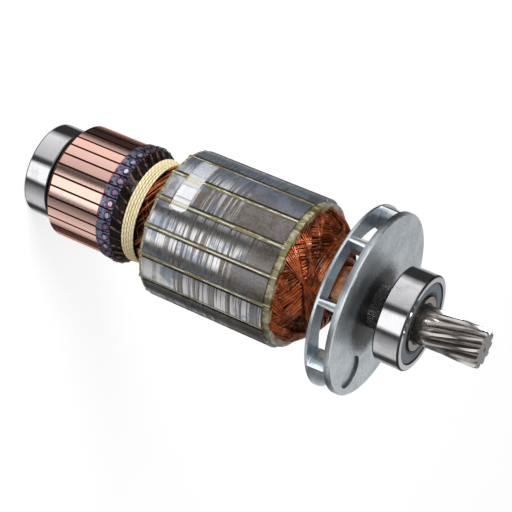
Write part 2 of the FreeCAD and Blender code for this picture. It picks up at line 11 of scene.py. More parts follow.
import bmesh
import bpy
from mathutils import Matrix, Vector


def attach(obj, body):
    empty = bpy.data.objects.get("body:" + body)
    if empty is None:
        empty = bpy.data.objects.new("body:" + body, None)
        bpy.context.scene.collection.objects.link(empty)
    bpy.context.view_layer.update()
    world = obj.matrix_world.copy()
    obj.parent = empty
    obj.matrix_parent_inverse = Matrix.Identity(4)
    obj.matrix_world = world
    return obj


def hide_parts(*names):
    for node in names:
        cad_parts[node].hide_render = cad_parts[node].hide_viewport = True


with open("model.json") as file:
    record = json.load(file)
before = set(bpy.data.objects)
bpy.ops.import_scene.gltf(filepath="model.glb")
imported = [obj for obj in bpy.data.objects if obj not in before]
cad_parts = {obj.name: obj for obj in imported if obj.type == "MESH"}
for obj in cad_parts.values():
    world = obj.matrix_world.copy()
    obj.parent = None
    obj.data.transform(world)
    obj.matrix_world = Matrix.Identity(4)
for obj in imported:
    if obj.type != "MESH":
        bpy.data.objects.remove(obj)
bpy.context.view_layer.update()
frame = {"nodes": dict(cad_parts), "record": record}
SLOTS = {part["node"]: part["material_slot"] for part in frame["record"]["subparts"]}

log = logging.getLogger("armature")

Colour = tuple[float, float, float]
Place = tuple[float, float, float]
Pair = tuple[float, float]

MM = 0.001
WHITE = (1.0, 1.0, 1.0)

BAR_COUNT = 32
BAR_FIRST_DEG = 180.4
SLOT_COUNT = 16
SLOT_FIRST_DEG = 181.7
CORD_FOOT_Z = 36.0
CORD_TOP_Z = 39.75
STACK_Z = 47.5
HEAD_FOOT_Z = 88.5
HEAD_TIP_Z = 99.5
RISER_Z = 28.6
STUD_Z = 31.9


class Body(Enum):
    """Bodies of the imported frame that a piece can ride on."""

    ROTOR = "rotor"
    REAR_RACE = "rear_outer_race"
    REAR_BALLS = "rear_ball_train"
    FRONT_RACE = "front_outer_race"
    FRONT_BALLS = "front_ball_train"


def operator(operation: str) -> "Callable[..., Socket]":
    """Write a method of Socket that adds a Math node.

    Args:
        operation: Blender's name of the operation.

    Returns:
        The method, which takes the operation's other values.
    """
    def method(self: "Socket", *others: "Socket | float") -> "Socket":
        """Result of the operation."""
        return self.tree.math(operation, self, *others)

    return method


@dataclass(eq=False)
class Socket:
    """An output socket whose arithmetic operators add Math nodes."""

    tree: "Tree"
    out: bpy.types.NodeSocket

    __add__ = __radd__ = operator("ADD")
    __sub__ = operator("SUBTRACT")
    __mul__ = __rmul__ = operator("MULTIPLY")
    __truediv__ = operator("DIVIDE")
    __pow__ = operator("POWER")
    __mod__ = operator("FLOORED_MODULO")
    __gt__ = operator("GREATER_THAN")
    __lt__ = operator("LESS_THAN")
    floor = operator("FLOOR")
    sine = operator("SINE")
    cosine = operator("COSINE")
    root = operator("SQRT")
    size = operator("ABSOLUTE")
    least = operator("MINIMUM")
    most = operator("MAXIMUM")

    def __rsub__(self, other: float) -> "Socket":
        """Difference from a number."""
        return self.tree.math("SUBTRACT", other, self)

    def reach(self, other: "Socket") -> "Socket":
        """Length of the line whose two legs are this value and another."""
        return (self * self + other * other).root()

    def fold(self, pitch: float) -> "Socket":
        """Distance from the nearest multiple of a pitch."""
        return ((self + pitch / 2) % pitch - pitch / 2).size()

    def above(self, low: float, high: float) -> "Socket":
        """Eased share: nothing at the low value, one at the high value."""
        return self.tree.make("ShaderNodeMapRange", {"interpolation_type": "SMOOTHSTEP"}, {
            "Value": self, "From Min": low, "From Max": high})

    def below(self, low: float, high: float) -> "Socket":
        """Eased share: one at the low value, nothing at the high value."""
        return 1 - self.above(low, high)

    def within(self, low: float, high: float, soft: float = 0.1) -> "Socket":
        """Mask of the values between two limits, with edges twice as wide as soft."""
        return self.above(low - soft, low + soft) * self.below(high - soft, high + soft)


class Tree:
    """A node tree in which a node and its inputs are made in one call."""

    def __init__(self, nodes: bpy.types.NodeTree) -> None:
        """Keep the tree to add to, emptied."""
        self.nodes = nodes
        self.nodes.nodes.clear()

    def node(self, kind: str, settings: dict | None = None,
             inputs: dict | None = None) -> bpy.types.Node:
        """Add a node.

        Args:
            kind: Blender's name of the node type.
            settings: Properties of the node, and a ramp's stops, set before its inputs.
            inputs: Values or sockets by the input's name or place.

        Returns:
            The new node.
        """
        node = self.nodes.nodes.new(kind)
        for name, value in (settings or {}).items():
            if name == "stops":
                self._set_stops(node.color_ramp.elements, value)
            else:
                setattr(node, name, value)
        for key, value in (inputs or {}).items():
            self._feed(self._pick(node.inputs, key), value)
        return node

    def outputs(self, kind: str, inputs: dict | None, *keys: str | int) -> list[Socket]:
        """Add a node and give several of its outputs, by name or place."""
        found = self.node(kind, {}, inputs).outputs
        return [Socket(self, self._pick(found, key)) for key in keys]

    def make(self, kind: str, settings: dict | None = None, inputs: dict | None = None,
             out: str | None = None) -> Socket:
        """Add a node and give its named output, or else the first one in use."""
        return Socket(self, self._pick(self.node(kind, settings, inputs).outputs, out))

    def math(self, operation: str, *values: "Socket | float") -> Socket:
        """Add a Math node on one value or more."""
        return self.make("ShaderNodeMath", {"operation": operation}, dict(enumerate(values)))

    def mix(self, share: Socket, first: Socket, second: Socket) -> Socket:
        """Mixture of two shaders."""
        return self.make("ShaderNodeMixShader", {}, {0: share, 1: first, 2: second})

    @staticmethod
    def _set_stops(elements: bpy.types.bpy_prop_collection, stops: tuple) -> None:
        """Give a colour ramp its places and colours.

        Args:
            elements: Stops of the ramp, of which there are two at first.
            stops: Pairs of a place and a colour.
        """
        for _ in stops[2:]:
            elements.new(1.0)
        for element, (place, colour) in zip(elements, stops):
            element.position = place
            element.color = (*colour, 1.0)

    @staticmethod
    def _pick(sockets: bpy.types.bpy_prop_collection, key: str | int | None) -> bpy.types.NodeSocket:
        """Socket at a place, or the first in use that has a name, or the first in use of all."""
        named = (item for item in sockets if item.enabled and key in (None, item.name))
        return sockets[key] if isinstance(key, int) else next(named)

    def _feed(self, target: bpy.types.NodeSocket, value: object) -> None:
        """Link a socket to an input, or set the input's own value.

        Args:
            target: Input to feed.
            value: Socket to link, or value to set.
        """
        if isinstance(value, Socket):
            self.nodes.links.new(value.out, target)
        else:
            target.default_value = (*value, 1.0) if target.type == "RGBA" else value


class Surface(Tree):
    """Node tree of one material, with the object's own millimetres as its coordinates."""

    def __init__(self, name: str) -> None:
        """Start a material with its coordinates.

        Args:
            name: Name of the material.
        """
        self.material = bpy.data.materials.new(name)
        self.material.use_nodes = True
        super().__init__(self.material.node_tree)
        spot = self.make("ShaderNodeTexCoord", out="Object")
        self.place = self.make(
            "ShaderNodeVectorMath", {"operation": "SCALE"}, {"Vector": spot, "Scale": 1 / MM})
        self.x, self.y, self.z = self.outputs("ShaderNodeSeparateXYZ", {0: self.place}, 0, 1, 2)
        self.radius = self.x.reach(self.y)
        self.angle = self.math("ARCTAN2", self.y, self.x) * math.degrees(1)

    def noise(self, scale: float, detail: float = 2.0, roughness: float = 0.5,
              stretch: Place = (1, 1, 1)) -> Socket:
        """Cloudy pattern between nothing and one.

        Args:
            scale: Spots to the millimetre.
            detail: Number of finer layers.
            roughness: Share of the finer layers.
            stretch: Closeness of the pattern along x, y and z.

        Returns:
            The pattern's value.
        """
        place = self.make("ShaderNodeVectorMath", {"operation": "MULTIPLY"}, {0: self.place, 1: stretch})
        return self.make("ShaderNodeTexNoise", {}, {
            "Vector": place, "Scale": scale, "Detail": detail, "Roughness": roughness}, "Fac")

    def pattern(self, x: Socket, y: Socket, z: Socket, detail: float = 2.0) -> Socket:
        """Cloudy pattern over coordinates of the finish's own."""
        place = self.make("ShaderNodeCombineXYZ", {}, {0: x, 1: y, 2: z})
        return self.make("ShaderNodeTexNoise", {}, {"Vector": place, "Scale": 1.0, "Detail": detail}, "Fac")

    def chance(self, value: Socket) -> Socket:
        """Random share that is the same wherever the value is."""
        return self.make("ShaderNodeTexWhiteNoise", {"noise_dimensions": "1D"}, {"W": value}, "Value")

    def tone(self) -> Socket:
        """Tone of a wire or strand, from the attribute on its mesh."""
        return self.make("ShaderNodeAttribute", {"attribute_name": "tone"}, out="Fac")

    def ramp(self, value: Socket, *stops: tuple[float, Colour]) -> Socket:
        """Colour that follows a value, by pairs of a place and a colour."""
        return self.make("ShaderNodeValToRGB", {"stops": stops}, {"Fac": value}, "Color")

    def blend(self, share: Socket, first: "Socket | Colour", second: "Socket | Colour") -> Socket:
        """Mixture of two colours."""
        return self.make("ShaderNodeMix", {"data_type": "RGBA", "clamp_factor": True},
                         {"Factor": share, "A": first, "B": second})

    def coats(self, colour: "Socket | Colour", *coats: "tuple[Socket, Socket | Colour]") -> Socket:
        """Colour with coats over it.

        Args:
            colour: Colour underneath.
            coats: Pairs of a coat's mask and its colour, from the lowest up.

        Returns:
            The colour on top.
        """
        for mask, coat in coats:
            colour = self.blend(mask, colour, coat)
        return colour

    def relief(self, height: Socket, depth: float) -> Socket:
        """Normal of a surface with that height, of which one stands for a depth in millimetres."""
        return self.make("ShaderNodeBump", {}, {"Strength": 1.0, "Distance": depth * MM, "Height": height})

    def away_from(self, x: float, y: float) -> Socket:
        """Distance in millimetres from an upright line at a place."""
        return (self.x - x).reach(self.y - y)

    def turn_from(self, degrees: float) -> Socket:
        """Angle in degrees from a direction, either way round."""
        return (self.angle - degrees).fold(360)

    def steps(self, first: float, count: int) -> tuple[Socket, Socket]:
        """Angle divided into equal sectors.

        Args:
            first: Angle of the middle of the first sector, in degrees.
            count: Number of sectors.

        Returns:
            The sector's number, and the angle in degrees from its middle.
        """
        pitch = 360 / count
        turned = (self.angle - (first - pitch / 2)) % 360
        number = (turned / pitch).floor()
        return number, turned - number * pitch - pitch / 2

    def close(self, colour: "Socket | Colour", *coats: "tuple[Socket, Socket | Colour]",
              **inputs: object) -> None:
        """Add the shader and the output.

        Args:
            colour: Base colour underneath.
            coats: Pairs of a coat's mask and its colour, from the lowest up.
            inputs: Other inputs of the shader, named with lines for spaces.
        """
        values = {name.replace("_", " "): value for name, value in inputs.items()}
        values["Base Color"] = self.coats(colour, *coats)
        shader = self.make("ShaderNodeBsdfPrincipled", {}, values)
        self.node("ShaderNodeOutputMaterial", {}, {"Surface": shader})


@dataclass(frozen=True)
class Finish:
    """How one material of the part looks."""

    name: str

    @cache
    def material(self) -> bpy.types.Material:
        """Material of this finish, made when it is first asked for.

        Returns:
            The one material of this finish.
        """
        surface = Surface(self.name)
        self.paint(surface)
        return surface.material

    def paint(self, s: Surface) -> None:
        """Add the finish's nodes to a surface."""
        raise NotImplementedError


@dataclass(frozen=True)
class GroundSteel(Finish):
    """Ground or polished steel with fine turning lines, faint stains, specks of rust and painted shade in its
    corners.
    """

    colour: Colour = (0.62, 0.62, 0.64)
    stain: Colour = (0.30, 0.26, 0.23)
    speck: Colour = (0.28, 0.28, 0.30)
    rust: Colour = (0.26, 0.10, 0.03)
    # Colour of the painted shade in the corners.
    dark: Colour = (0.015, 0.015, 0.017)
    roughness: float = 0.045
    stain_share: float = 0.3
    rust_share: float = 0.0
    corner_from_r: float = 13.5
    corner_h: float = 0.6
    faces_z: tuple[float, ...] = (0.0, 8.0, 116.4, 124.4)

    def paint(self, s: Surface) -> None:
        """Add the lines, the stains, the rust and the painted shade in the corners.

        Args:
            s: Surface to add to.
        """
        lines = s.noise(1.0, 4, 0.65, (0.10, 0.10, 7.0))
        grain = s.noise(2.4, 4, 0.65)
        cloud = s.noise(0.22, 4, 0.6)
        rusty = s.noise(0.9, 4, 0.7).above(0.56, 0.64) * self.rust_share
        from_face = reduce(Socket.least, [(s.z - face).size() for face in self.faces_z])
        # Painted shade: near-dark colour in the corners next to each face, past a radius.
        painted_corner_shade = from_face.below(self.corner_h - 0.12, self.corner_h - 0.02) * s.radius.above(
            self.corner_from_r - 0.03, self.corner_from_r + 0.03)
        s.close(
            self.colour,
            (lines * 0.5, tuple(c * 1.15 for c in self.colour)),
            (cloud.above(0.5, 0.72) * self.stain_share, self.stain),
            (grain.above(0.58, 0.72) * 0.3, self.speck),
            (rusty, self.rust),
            (painted_corner_shade * 0.92, self.dark),
            Metallic=1 - rusty * 0.8,
            Roughness=self.roughness + grain * 0.05 + cloud * 0.03 + rusty * 0.4 + painted_corner_shade * 0.3,
            Normal=s.relief(grain * 0.6 + lines * 0.4, 0.003),
        )


@dataclass(frozen=True)
class PinionSteel(Finish):
    """Shaft steel: browned and ground along the pinion's teeth, with painted shade in their gaps; knurled,
    and dark with painted shade behind the bearing.
    """

    tooth: Colour = (0.45, 0.43, 0.42)
    worn: Colour = (0.88, 0.87, 0.86)
    brown: Colour = (0.16, 0.132, 0.12)
    rust: Colour = (0.34, 0.17, 0.085)
    # Near-dark colour of the painted shade in the gaps, the hole, the neck and the knurl.
    stain_and_shade: Colour = (0.014, 0.012, 0.011)
    end_pale: Colour = (0.44, 0.43, 0.43)
    end_dark: Colour = (0.20, 0.19, 0.185)
    # Colour of the painted glints on the knurl's ridges.
    knurl_glint: Colour = (0.52, 0.50, 0.48)
    knurl_z: Pair = (106.0, 116.4)
    knurl_r: Pair = (6.47, 6.58)
    neck_z: Pair = (123.0, 125.9)
    bearing_z: float = 124.0
    teeth_z: float = 125.2
    hole_z: float = 140.9
    hole_r: float = 0.66
    end_z: float = 142.9
    root_r: float = 4.3
    tip_r: float = 5.6
    twist: float = 3.0
    teeth: int = 11
    gap_deg: float = 220.7
    gap_z: float = 143.0

    def paint(self, s: Surface) -> None:
        """Add lines along the helix, painted shade in the gaps, the hole and the neck, the end face, and the
        knurl's painted shade with painted glints on its ridges.

        Args:
            s: Surface to add to.
        """
        turn = s.z * math.radians(self.twist)
        along_x = s.x * turn.cosine() - s.y * turn.sine()
        along_y = s.x * turn.sine() + s.y * turn.cosine()
        lines = s.pattern(along_x * 3.0, along_y * 3.0, s.z * 0.12, 4.0)
        cloud = s.noise(0.5, 4, 0.65)
        grain = s.noise(2.6, 4, 0.7)
        height = s.radius.above(self.root_r + 0.1, self.tip_r - 0.15)
        # floor: the tooth gaps, which the brown below darkens as painted shade.
        floor = (1 - height) * s.z.above(self.teeth_z, self.teeth_z + 0.6)
        # foot: the teeth near the bearing, which get painted shade.
        foot = s.z.below(self.teeth_z + 0.3, self.teeth_z + 3.8) * s.z.above(
            self.bearing_z, self.bearing_z + 0.4)
        pitch = 360 / self.teeth
        along = s.angle + (s.z - self.gap_z) * self.twist - self.gap_deg
        groove = along.fold(pitch).below(pitch * 0.20, pitch * 0.33)
        # Real browning in clouds, with painted shade added in the gaps and near the bearing.
        brown = (floor * 0.9 + cloud.above(0.40, 0.72) * 0.45 + foot * 0.7).above(0.0, 1.15)
        end = s.z.above(self.end_z - 0.05, self.end_z + 0.05)
        hole = s.z.above(self.hole_z - 0.1, self.hole_z + 0.1) * s.radius.below(
            self.hole_r - 0.06, self.hole_r + 0.06)
        knurl = s.z.within(*self.knurl_z)
        # Painted shade: the centre hole, the knurl and the neck turn near-dark.
        painted_shade = (hole + knurl + s.z.within(*self.neck_z, 0.2) * 0.9).above(0, 1)
        # Painted glints: lighter ridge tops on the knurl.
        knurl_glint = knurl * s.radius.above(*self.knurl_r) * grain.above(0.48, 0.58)
        s.close(
            s.blend(brown, self.tooth, self.brown),
            (grain.above(0.55, 0.7) * cloud.above(0.42, 0.6) * 0.5, self.rust),
            # Pale ground lines along the helix, strongest on the tooth tips, where they also stand for
            # painted highlights.
            (lines.above(0.54, 0.68) * (0.10 + height * 0.40) * (1 - foot * 0.7), self.worn),
            # Painted shade in the tooth gaps near the bearing.
            (groove * foot, self.stain_and_shade),
            (end * 0.85, s.blend(grain.above(0.4, 0.65), self.end_pale, self.end_dark)),
            (painted_shade, self.stain_and_shade),
            (knurl_glint * 0.6, self.knurl_glint),
            Metallic=1 - foot * groove * 0.5 - (painted_shade - knurl_glint) * 0.6,
            Roughness=0.15 + cloud * 0.10 + brown * 0.12 + painted_shade * 0.25 + end * 0.12,
            Normal=s.relief(lines * 0.8 + grain * 0.35, 0.011),
        )


@dataclass(frozen=True)
class CastAlloy(Finish):
    """Zinc-coloured casting: cloudy satin skin with pits, painted shade and dark reflection round the hub,
    painted highlights along its edges.
    """

    colour: Colour = (0.63, 0.69, 0.725)
    dull: Colour = (0.48, 0.535, 0.575)
    glint: Colour = (0.74, 0.78, 0.80)
    pit: Colour = (0.13, 0.14, 0.15)
    # Colour of the painted shade on the blades.
    blade: Colour = (0.10, 0.11, 0.12)
    # Colour of the painted shade and dark reflection round the hub.
    hub_shade: Colour = (0.022, 0.021, 0.024)
    # Colour of the painted shade in the balance spot.
    spot_shade: Colour = (0.025, 0.027, 0.03)
    roughness: float = 0.22
    face_z: float = 110.8
    rear_edge_z: Pair = (108.8, 109.7)
    side_z: Pair = (109.3, 110.3)
    rim_r: float = 26.8
    ring_r: float = 20.5
    channel_z: Pair = (104.0, 108.9)
    blades_deg: tuple[float, ...] = (190.0, 230.0, 272.0, 317.5, 7.0, 56.0, 103.0, 148.0)
    # Middle of the painted shade and dark reflection round the hub.
    hub_shade_at: Pair = (0.9, -2.6)
    spot_at: Pair = (19.5285, -3.2679)
    spot_r: float = 4.9

    def paint(self, s: Surface) -> None:
        """Add the clouds, the pits, the painted shade and dark reflection round the hub, the painted shade on
        the blades, the spot and the rim, and the painted highlights along the edges.

        Args:
            s: Surface to add to.
        """
        cloud = s.noise(0.16, 5, 0.6)
        brushed = s.noise(0.8, 4, 0.6, (0.5, 2.2, 1.0))
        grain = s.noise(1.6, 4, 0.65)
        pits = s.noise(1.3, 3, 0.7).above(0.585, 0.645)
        # Painted shade and dark reflection round the hub, with a smeared edge.
        hub_shade_mask = self._hub_shade(s, grain * 0.6 + cloud * 0.4)
        # Painted shade on the balance spot's side.
        spot_shade = self._spot_wall(s)
        rim = self.rim_r
        # Painted shade: a darker band round the rim's rear part.
        rear_edge_shade = s.radius.above(rim - 0.4, rim - 0.3) * s.z.within(*self.rear_edge_z, 0.15)
        # Painted shade: the middle of the rim's side a little darker.
        side = s.radius.above(rim - 0.07, rim - 0.03) * s.z.within(*self.side_z, 0.15)
        # Painted highlight: a bright line along the front edge.
        edge = s.radius.within(rim - 0.32, rim - 0.04, 0.02) * (1 - rear_edge_shade)
        s.close(
            self.colour,
            (cloud.above(0.38, 0.62) * 0.85, self.dull),
            (grain.above(0.5, 0.75) * 0.45, self.glint),
            (pits * 0.8, self.pit),
            # Painted shade on the blades.
            (self._blades(s), self.blade),
            (hub_shade_mask, self.hub_shade),
            (spot_shade * 0.92, self.spot_shade),
            (rear_edge_shade * 0.6, (0.13, 0.14, 0.155)),
            (side * 0.45, (0.26, 0.28, 0.30)),
            (edge * 0.8, (0.90, 0.93, 0.95)),
            Metallic=1.0 - pits * 0.5 - hub_shade_mask * 0.25 - spot_shade * 0.6,
            Roughness=self.roughness + cloud * 0.10 + grain * 0.08 + hub_shade_mask * 0.06 + spot_shade * 0.35,
            Normal=s.relief(grain * 0.6 + brushed * 0.3 - pits * 0.8, 0.018),
        )

    def _blades(self, s: Surface) -> Socket:
        """Painted shade along the middle of each blade's outer face, and on its flanks towards the shaft.

        Args:
            s: Surface to add to.

        Returns:
            The mask.
        """
        nearest = reduce(Socket.least, [s.turn_from(blade) for blade in self.blades_deg])
        across = nearest * (math.radians(1) * self.rim_r)
        middle = across.below(0.28, 0.46) * s.radius.above(self.rim_r - 1.2, self.rim_r - 0.8)
        flank = s.radius.within(self.ring_r, self.rim_r - 1.0, 0.3) * across.below(1.6, 2.0) * 0.5
        return (middle + flank) * s.z.within(*self.channel_z) * 0.8

    def _hub_shade(self, s: Surface, smears: Socket) -> Socket:
        """Mask of painted shade and dark reflection on the front face, strongest at the hub, with an edge
        that a pattern smears.
        """
        hub_darkening = (s.away_from(*self.hub_shade_at) + smears * 12.0 - 6.0).below(10.2, 15.2)
        return hub_darkening * s.z.above(self.face_z - 0.1, self.face_z - 0.02) * 0.98

    def _spot_wall(self, s: Surface) -> Socket:
        """Mask of the drilled balance spot's side, where shade is painted."""
        round_spot = s.away_from(*self.spot_at).within(self.spot_r - 0.25, self.spot_r + 0.1)
        return round_spot * s.z.within(self.face_z - 1.0, self.face_z - 0.03, 0.02)


@dataclass(frozen=True)
class Laminations(Finish):
    """Turned faces of the stacked sheets: polished stripes towards the commutator, brown beyond."""

    bright: Colour = (0.62, 0.62, 0.63)
    brown: Colour = (0.145, 0.116, 0.097)
    grey: Colour = (0.20, 0.182, 0.168)
    blue: Colour = (0.14, 0.19, 0.265)
    # Colour of dark spots, and of the painted shade beside the slots.
    stain_and_shade: Colour = (0.05, 0.05, 0.055)
    milled_pale: Colour = (0.86, 0.87, 0.89)
    milled_grey: Colour = (0.62, 0.64, 0.66)
    milled_blue: Colour = (0.38, 0.40, 0.45)
    blued_deg: float = 198.0
    calm_deg: float = 238.0
    bright_deg: float = 305.5
    cut_z: Pair = (51.3, 56.5)
    cut_deg: float = 229.0
    skin_r: float = 22.27
    floor_r: float = 21.0

    def paint(self, s: Surface) -> None:
        """Add the stripes, the clouds, the blued tooth, the painted shade beside the slots and the bright
        milled cut.

        Args:
            s: Surface to add to.
        """
        tooth, off = s.steps(SLOT_FIRST_DEG + 180 / SLOT_COUNT, SLOT_COUNT)
        mottle = s.noise(1.3, 5, 0.72)
        cloud = s.noise(0.17, 4, 0.6)
        reach = s.z - STACK_Z + (cloud - 0.5) * 16
        calm = s.turn_from(self.calm_deg).below(9, 13)
        bright = s.turn_from(self.bright_deg).below(9, 13)
        blued = s.turn_from(self.blued_deg).below(12, 34)
        turned = (reach / (s.chance(tooth + 3) * 12 + 20 + bright * 16 - calm * 4)).below(0.8, 1.2)
        wide = s.pattern(tooth * 7.3 + 1.0, off * 0.014, s.z * 1.1)
        fine = s.pattern(tooth * 7.3 + 3.0, off * 0.014, s.z * 3.2)
        skipped = wide.above(0.50, 0.53) * 0.85 + fine.above(0.52, 0.55) * 0.5 + calm * 0.3 - bright * 0.15
        left = (reach / 9.0).above(0.25, 1.0) * 0.55 + 0.45
        dull = (skipped * left * turned + (1 - turned) * 1.1).above(0.0, 1.05)
        worn = s.blend(mottle.above(0.38, 0.62), self.brown, self.grey)
        milled = self._milled(s)
        fresh = s.coats(
            self.milled_pale,
            (s.noise(1.0, 3, 0.6, (0.4, 0.4, 5.0)), self.milled_grey),
            (blued * (mottle.above(0.42, 0.58) * 0.45 + 0.45), self.milled_blue),
        )
        s.close(
            self.bright,
            (dull, worn),
            (cloud.above(0.50, 0.62) * (turned * 0.45 + 0.2), self.blue),
            (blued * (mottle.above(0.36, 0.56) * 0.45 + 0.3), self.blue),
            (mottle.above(0.60, 0.74) * 0.5, self.stain_and_shade),
            # Painted shade along the teeth's edges beside the slots.
            (off.size().above(8.2, 9.2) * 0.55, self.stain_and_shade),
            (milled, fresh),
            Metallic=1 - milled * 0.4 - (dull * cloud.above(0.45, 0.6) * 0.3 + blued * 0.35) * (1 - milled),
            Roughness=0.12 + dull * 0.17 + mottle * 0.05 + milled * 0.35,
            Normal=s.relief(fine * 0.3 + wide * 0.1 + mottle * 0.2, 0.004),
        )

    def _milled(self, s: Surface) -> Socket:
        """Mask of the flat floor of the balance cut.

        Args:
            s: Surface to add to.

        Returns:
            The mask.
        """
        deep = s.radius.below(self.skin_r - 0.03, self.skin_r)
        past = (s.turn_from(self.cut_deg) - 19).most(0.0) / 6.5
        aside = (s.z - sum(self.cut_z) / 2) / 2.9
        inside = (past * past + aside ** 4 + s.noise(1.2, 3) * 0.2).below(0.90, 1.1)
        return deep * inside * s.radius.above(self.floor_r - 0.3, self.floor_r)


def from_stud(s: Surface, off: Socket, radius: float) -> Socket:
    """Distance in millimetres from the middle of a coil end, by the angle from its bar's middle."""
    return (off * (math.radians(1) * radius)).reach(s.z - STUD_Z)


@dataclass(frozen=True)
class Commutator(Finish):
    """Turned copper bars, with heat-tinted risers round the coil ends."""

    copper: Colour = (0.95, 0.64, 0.565)
    second: Colour = (0.84, 0.475, 0.38)
    brown: Colour = (0.24, 0.09, 0.06)
    # Colour of the painted shade round the coil ends, and of the darker riser tops.
    stain_and_shade: Colour = (0.018, 0.016, 0.02)
    riser_r: float = 17.7
    riser_top_z: float = 32.9

    def paint(self, s: Surface) -> None:
        """Add the lines, each bar's own shade and the risers' tints.

        Args:
            s: Surface to add to.
        """
        bar, off = s.steps(BAR_FIRST_DEG, BAR_COUNT)
        lines = s.noise(1.0, 4, 0.65, (0.05, 0.05, 5.5))
        grain = s.noise(2.6, 3, 0.7)
        lumps = s.noise(1.1, 3)
        streak = s.pattern(bar * 4.7, off * 0.9, s.z * 0.05)
        edge = off.size().above(4.4, 4.75) + s.z.above(RISER_Z - 0.5, RISER_Z + 0.2) * 0.6
        riser = s.z.above(RISER_Z - 0.15, RISER_Z + 0.1)
        s.close(
            self.copper,
            (s.chance(bar + 11) * 0.6 + streak.above(0.5, 0.75) * 0.3, self.second),
            (edge.above(0, 1) * 0.8, self.brown),
            (riser, self._burnt(s, off)),
            Metallic=1 - riser * 0.3,
            Specular_Tint=(1.0, 0.62, 0.50),
            Roughness=0.075 + lines * 0.06 + grain * 0.06 + riser * (0.12 + lumps * 0.25),
            Normal=s.relief((lines * 0.35 + grain * 0.75) * (1 - riser) + lumps * riser * 2.2, 0.018),
        )

    def _burnt(self, s: Surface, off: Socket) -> Socket:
        """Heat colours of the risers, with painted shade in a ring round each coil end, and darker on the
        risers' tops.

        Args:
            s: Surface to add to.
            off: Angle from the middle of the bar.

        Returns:
            The colour.
        """
        burnt = s.ramp(
            s.noise(0.85, 4, 0.7),
            (0.34, (0.006, 0.006, 0.008)), (0.42, (0.035, 0.03, 0.045)), (0.46, (0.28, 0.075, 0.24)),
            (0.50, (0.05, 0.11, 0.18)), (0.55, (0.13, 0.37, 0.40)), (0.59, (0.10, 0.11, 0.20)),
            (0.63, (0.62, 0.15, 0.28)), (0.70, (0.48, 0.22, 0.15)),
        )
        # Painted shade in a ring round each coil end.
        ring = from_stud(s, off, self.riser_r).within(0.80, 1.25, 0.12)
        top = s.z.above(self.riser_top_z, self.riser_top_z + 0.1)
        return s.coats(burnt, (ring * 0.95, self.stain_and_shade), (top * 0.8, self.stain_and_shade))


@dataclass(frozen=True)
class StudMetal(Finish):
    """Ends of the coil wires in the risers: tinned copper with lilac and rose tints."""

    dark: Colour = (0.13, 0.10, 0.17)
    # Colour of the painted shade round the stud's rim.
    rim: Colour = (0.03, 0.025, 0.035)
    edge_r: float = 0.68
    riser_r: float = 18.0

    def paint(self, s: Surface) -> None:
        """Give each stud its own tint, and paint shade in a line round its rim.

        Args:
            s: Surface to add to.
        """
        bar, off = s.steps(BAR_FIRST_DEG, BAR_COUNT)
        tint = s.ramp(
            s.chance(bar + 5),
            (0.0, (0.46, 0.26, 0.46)), (0.3, (0.62, 0.36, 0.52)), (0.5, (0.36, 0.42, 0.56)),
            (0.7, (0.80, 0.82, 0.88)), (0.85, (0.58, 0.24, 0.36)), (1.0, (0.40, 0.22, 0.44)),
        )
        mottle = s.noise(1.9, 3)
        # Painted shade: a dark line round the stud where it meets the riser.
        rim = from_stud(s, off, self.riser_r).above(self.edge_r, self.edge_r + 0.1)
        s.close(
            tint,
            (mottle.above(0.5, 0.7) * 0.6, self.dark),
            (rim * 0.9, self.rim),
            Metallic=1.0,
            Roughness=0.22 + mottle * 0.2,
            Normal=s.relief(mottle, 0.05),
        )


@dataclass(frozen=True)
class Coated(Finish):
    """Plastic, paper, rubber, resin or enamel: two tones in a cloud, with lumps and a gloss coat."""

    colour: Colour
    second: Colour
    spots: float = 0.6
    stretch: Place = (1, 1, 1)
    roughness: float = 0.4
    coat: float = 0.0
    lump: float = 0.03
    lump_scale: float = 1.0
    speck: Colour | None = None
    metallic: float = 0.0
    shine: float = 0.5
    tones: Pair = (0.38, 0.64)

    def paint(self, s: Surface) -> None:
        """Add the cloud of two tones, the specks and the lumps.

        Args:
            s: Surface to add to.
        """
        cloud = s.noise(self.spots, 4, 0.6, self.stretch)
        lumps = s.noise(self.lump_scale, 3, 0.55, self.stretch)
        coats = [(cloud.above(*self.tones), self.second)]
        if self.speck:
            coats.append((s.noise(self.lump_scale * 2.3, 3).above(0.6, 0.68), self.speck))
        s.close(
            self.colour,
            *coats,
            Metallic=self.metallic,
            Specular_IOR_Level=self.shine,
            Roughness=self.roughness + cloud * 0.12,
            Coat_Weight=lumps.above(0.30, 0.55) * self.coat,
            Coat_Roughness=0.08,
            Normal=s.relief(lumps, self.lump),
        )


